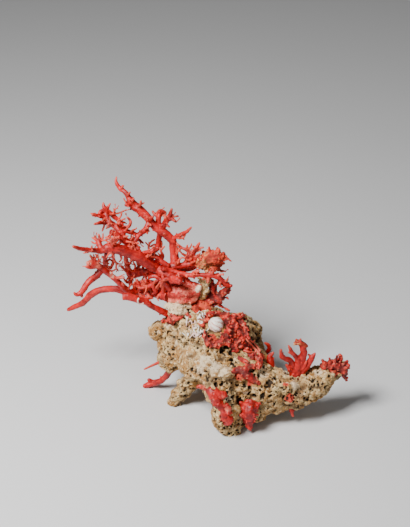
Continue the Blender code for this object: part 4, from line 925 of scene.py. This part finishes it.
coral("sponge_lump", laid_on_rock((
    ((194, 302, 3, 9), (199, 304.5, 3, 11), (203.5, 306, 3, 9)),
    ((195, 304, 3, 8), (196, 309, 2, 8)),
    ((193, 308.6, 1, 5), (192.4, 305, 1, 4)),
    ((199, 302, 2, 6), (203, 299.6, 2, 6), (206, 302, 2, 5)),
    ((206, 306.6, 2, 6), (209, 309, 1, 5)),
    ((200, 308, 1, 5), (202.6, 310.4, 1, 4)),
)), slot="spongy_coral", stands_for="sponge_blob", finish=sponge, seed=18, nub_count=34000.0,
      nub_size=(0.0017, 0.001, 0.7), swell=0.0028)
coral("crumbly_coral_field", laid_on_rock((
    ((222, 314.6, 1, 7), (228, 319, 1, 8), (233, 326, 1, 9), (230, 333, 1, 9), (223, 340, 1, 8),
     (214, 345, 1, 7), (207, 341, 1, 6), (205, 334, 1, 4)),
    ((234, 326, 1, 8), (240, 333, 1, 8), (245, 341, 1, 7), (249, 349, 1, 5)),
    ((229, 320, 1, 7), (237, 318.4, 1, 7), (242, 315.6, 1, 5)),
    ((231, 334, 1, 7), (237, 343, 1, 7), (232, 348, 1, 4)),
    ((208, 315, 1, 5), (214, 314, 1, 5), (222, 315, 1, 5)),
    ((236, 328, 1, 5), (233, 322, 6, 4), (236, 316, 9, 2.4)),
    ((226, 336, 1, 5), (229, 330, 6, 4), (226, 326, 8, 2.4)),
    ((244, 340, 1, 5), (247, 335, 5, 4), (246, 330, 7, 2.4)),
    ((226, 322, 2, 6), (232, 318, 2, 6), (240, 322, 2, 6), (246, 330, 2, 5)),
    ((222, 336, 2, 6), (228, 342, 2, 6), (236, 350, 2, 4)),
    ((240, 342, 2, 6), (246, 350, 2, 5), (252, 358, 1, 4)),
    ((206, 318, 1, 5), (203, 326, 1, 4)),
)), stands_for="field_coral", finish=crumbs, seed=19,
      nub_count=42000.0, nub_size=(0.003, 0.001, 0.6), swell=0.003)
coral("crumbs_by_the_broken_branch", laid_on_rock((
    ((181, 317, 1, 3), (174, 319.6, 2, 5), (168, 320.4, 2, 5), (163, 321, 2, 4)),
    ((175, 323.4, 1, 4), (169, 323, 1, 4)), ((176, 318, 2, 5), (171, 316, 4, 5)),
    ((186, 313, 1, 3), (190, 317, 1, 2)),
)), finish=crumbs, seed=34, nub_count=30000.0, nub_size=(0.0022, 0.001, 0.6), swell=0.0024)
coral("pale_crossing_stems", laid_on_rock((
    ((243, 336, 3, 1.8), (248, 341, 4, 2), (253, 347, 4, 2.2), (258, 352, 4, 2.4), (262, 359, 3, 2.8)),
    ((243, 350, 3, 1.8), (249, 352, 4, 2.2), (256, 353, 4, 2)),
    ((250, 340, 3, 1.8), (256, 345, 4, 1.8), (260, 351, 4, 1.6)),
)), seed=32, nub_count=3000.0, pale=pale_on_rock(((247, 340, 4, 9), (255, 350, 4, 9)), 0.55))
coral("coral_ridge", laid_on_rock((
    ((232, 373, 1, 3.6), (238.5, 370, 1, 7), (244, 372.6, 1, 8), (249.6, 377, 1, 7), (254.8, 381, 1, 6),
     (258.6, 383.4, 1, 3)),
    ((243, 371, 1, 6), (251, 366.4, 1, 5), (256, 365.8, 1, 3)),
    ((238, 357, 1, 3), (243, 360, 1, 4), (248, 363, 1, 3)),
    ((252, 352, 1, 3), (256.6, 357, 2, 5), (260, 362, 2, 6), (258, 368, 1, 4)),
)), stands_for="ridge_coral", finish=crumbs, seed=20,
      nub_count=26000.0, nub_size=(0.0013, 0.0011, 0.6), swell=0.0018)
coral("coral_on_foot", laid_on_rock((
    ((208, 388.6, 0, 7), (213, 394, 0, 10), (217, 401, 0, 10), (222, 407.6, 0, 7), (229, 412.4, 0, 5)),
    ((214, 391, 0, 8), (222, 395, 0, 8)),
    ((224, 409, 0, 6), (225, 416, 0, 8), (229, 420, 0, 8), (226.4, 422.6, 0, 6)),
    ((226, 404, 1, 4), (228.6, 408, 2, 5), (228, 412, 1, 4)),
)) + [((211, 391.6, 5, 5), (204.6, 387.6, 5, 3.8), (198, 386.2, 5, 2.8))], stands_for="foot_coral", seed=21,
      nub_count=20000.0, nub_size=(0.0011, 0.001, 0.6), swell=0.0017,
      pale=pale_on_rock(((203, 387, 2, 5), (222, 396, 1, 3), (228.6, 409, 2, 4), (214, 398, 4, 2)), 0.6))
coral("spiky_red_knob", laid_on_rock((
    ((250, 402, -3, 12), (249, 411, 1, 15), (248.4, 418, 3, 12), (249.4, 424, 5, 7), (249.6, 428.2, 7, 3)),
    ((245, 408, 1, 8), (240.6, 403, 3, 3)),
    ((254, 408, 1, 8), (259.4, 403.6, 3, 3)),
    ((245, 414, 3, 6), (240.6, 415, 5, 2.4)),
    ((253, 414, 3, 6), (257.6, 414.6, 5, 2.4)),
)), stands_for="red_knob", seed=22, nub_count=36000.0, nub_size=(0.0026, 0.0008, 0.4), swell=0.0017)


# Sprigs on the rock: small red coral shoots on the long arm and round the rock's edge,
# and the two at the lower left, one of which reaches down to the table.
def thickened(branches, share):
    return [[(*point[:3], point[3] * share) for point in points] for points in branches]


coral("coral_leg_branch", thickened((
    ((180, 364, 70, 8), (170.6, 369.6, 71, 5.8), (166.5, 375.6, 74, 5.4), (159.6, 381.4, 77, 5.2),
     (153, 383, 80, 5.4), (148.6, 384.6, 80, 5), (145, 385.8, 80, 3.6)),
    ((153, 382.4, 80, 4.4), (149, 380, 80, 3)),
), 1.15), stands_for="leg_branch", seed=23)
coral("coral_leg_twig", (
    ((164, 360, 66, 3.4), (152, 365.6, 60, 2.4), (144.4, 369.2, 56, 1.6)),
), stands_for="leg_twig", seed=24, nub_count=0.0, swell=0.0002)
coral("coral_hook_twig", (
    ((254, 355, 72, 5), (262, 352.8, 72, 4.4), (266.6, 352.2, 71, 4.2), (269.4, 348.6, 70, 4),
     (268.2, 345, 69, 3.4), (265, 343, 68, 2)),
), stands_for="hook_twig", seed=25)
coral("coral_cone_twig", (
    ((271, 370, 44, 9), (270.4, 361.5, 45, 7.4), (270, 356.6, 46, 5), (272.9, 353, 46, 2.4)),
), stands_for="cone_twig", seed=26, nub_count=6000.0)
coral("coral_arm_sprig", thickened((
    ((296, 376, 34, 11), (297.6, 366.6, 34, 8.4), (302, 358.4, 34, 6.2), (303.8, 352, 34, 5.4),
     (302.6, 346.4, 33, 5)),
    ((295.6, 340.6, 32, 2.8), (299.5, 342.6, 32.5, 4.6), (303, 344.6, 33, 5), (306.6, 346.4, 33, 2.8)),
    ((300, 343, 32, 3.2), (300.6, 339.2, 31, 2)),
    ((295, 371, 34, 6), (292.4, 364.8, 32, 4.6), (289.8, 360.4, 31, 4), (284.6, 358.4, 29, 3.8),
     (281.6, 355.6, 28, 3.6), (281, 350.4, 27, 2.2)),
    ((299.4, 363, 32, 4.4), (296.4, 357.4, 31, 3.8), (292.6, 352.4, 30, 3.2), (288.8, 346.2, 29, 1.8)),
    ((293, 354, 30, 3), (289.6, 352.4, 30, 2)),
    ((300, 371, 33, 5), (304, 366, 32, 3.4), (306.6, 362, 31, 2)),
    ((292, 372, 33, 5), (289, 368, 32, 3.6), (286.6, 365, 31, 2)),
), 1.2), stands_for="arm_sprig", seed=27, nub_count=9000.0, nub_size=(0.0013, 0.001, 0.6), swell=0.0011)
coral("orange_plate", (
    ((293.4, 343.4, 32, 2.4), (298, 342.4, 32, 4.4), (302.6, 344, 32, 5), (306.8, 346.6, 32, 2.6)),
    ((298, 343, 32, 3), (296.4, 339.6, 31, 2)),
), slot="spongy_coral", finish=sponge, seed=33, nub_count=16000.0, nub_size=(0.001, 0.001, 0.6), swell=0.001,
      pale=((297, 342, 32, 6, 0.5),))
coral("coral_arm_horn", (
    ((301, 372, 34, 8), (306.6, 366, 34, 6.4), (310.4, 360.4, 34, 5.6), (312.6, 356.6, 34, 4.8),
     (314.8, 353.8, 34, 2.6)),
    ((312, 357.6, 34, 3.6), (308.6, 354.6, 34, 2)),
), stands_for="arm_horn", seed=28, nub_count=3000.0)
coral("coral_arm_tip_sprig", laid_on_rock((
    ((321, 366, 1, 6), (326, 366, 1, 8), (333, 366, 1, 9), (340, 367, 1, 9), (344, 371, 1, 8),
     (344, 376, 2, 5), (346, 380, 3, 2.8)),
    ((334, 366, 2, 6), (335.6, 361, 2, 4), (337, 356, 2, 2)),
    ((342, 368, 2, 6), (344.6, 364.4, 2, 4), (347.3, 361, 2, 2.2)),
    ((326, 367, 2, 6), (324.4, 363, 2, 4), (322.4, 360, 2, 2.4)),
    ((331, 367, 2, 5), (329.4, 358.6, 2, 2)),
    ((339, 362, 3, 4), (341, 358, 3, 4), (339.6, 355, 3, 2)),
    ((328, 363, 3, 4), (332, 361, 3, 4), (336, 363, 3, 4)),
    ((343, 369, 3, 4), (347, 368, 3, 3), (349, 365.6, 3, 2)),
)), stands_for="arm_tip_sprig", finish=crumbs, seed=29,
      nub_count=26000.0, nub_size=(0.0016, 0.0012, 0.6), swell=0.0022)
coral("coral_under_twigs", (
    ((287, 396, 20, 5), (289.4, 404, 18, 4.2), (293, 416, 15, 2.6)),
    ((289, 402, 19, 3), (294, 403.6, 18, 2.6), (298.4, 407.4, 17, 1.8)),
), stands_for="under_twigs", seed=30, nub_count=3000.0)


# Worm tubes: thin chalky tubes that marine worms left on the coral and the rock: half a
# ring round the broken branch, and a tuft of them left of the barnacle.
RING_PLACE = (141, 300.8, 70)
RING_RADIUS = 3.3
RING_DEPTH = 2
RING_START, RING_STEP, RING_KNOTS = 40, 37, 6
TUBE_THICKNESS = 1.4
TUFT_TUBES = 64
TUFT_RIGHT, TUFT_DOWN = (186, 207), (312, 338)
TUFT_TURN, TUFT_REACH = (-2.6, -0.4), (3.0, 6.0)

ring = []
for step in range(RING_KNOTS):
    turn = radians(RING_START + step * RING_STEP)
    ring.append((RING_PLACE[0] + RING_RADIUS * cos(turn), RING_PLACE[1] + RING_RADIUS * sin(turn),
                 RING_PLACE[2] - RING_DEPTH + RING_DEPTH * sin(turn), TUBE_THICKNESS))
coral("worm_tube_ring", (ring,), slot="shell", finish=shell, nub_count=0.0, swell=0.0002)
drawn = np.random.default_rng(5)
tuft = []
for _ in range(TUFT_TUBES):
    right, down = drawn.uniform(*TUFT_RIGHT), drawn.uniform(*TUFT_DOWN)
    turn = drawn.uniform(*TUFT_TURN)
    reach = drawn.uniform(*TUFT_REACH)
    tuft.append(((right, down, -1.6, 1.3),
                 (right + cos(turn) * reach / 2, down + sin(turn) * reach / 2, 1.2, 1.1),
                 (right + cos(turn) * reach, down + sin(turn) * reach, 1.8, 0.8)))
coral("worm_tube_tuft", laid_on_rock(tuft), slot="shell", finish=shell, nub_count=0.0, swell=0.0002)
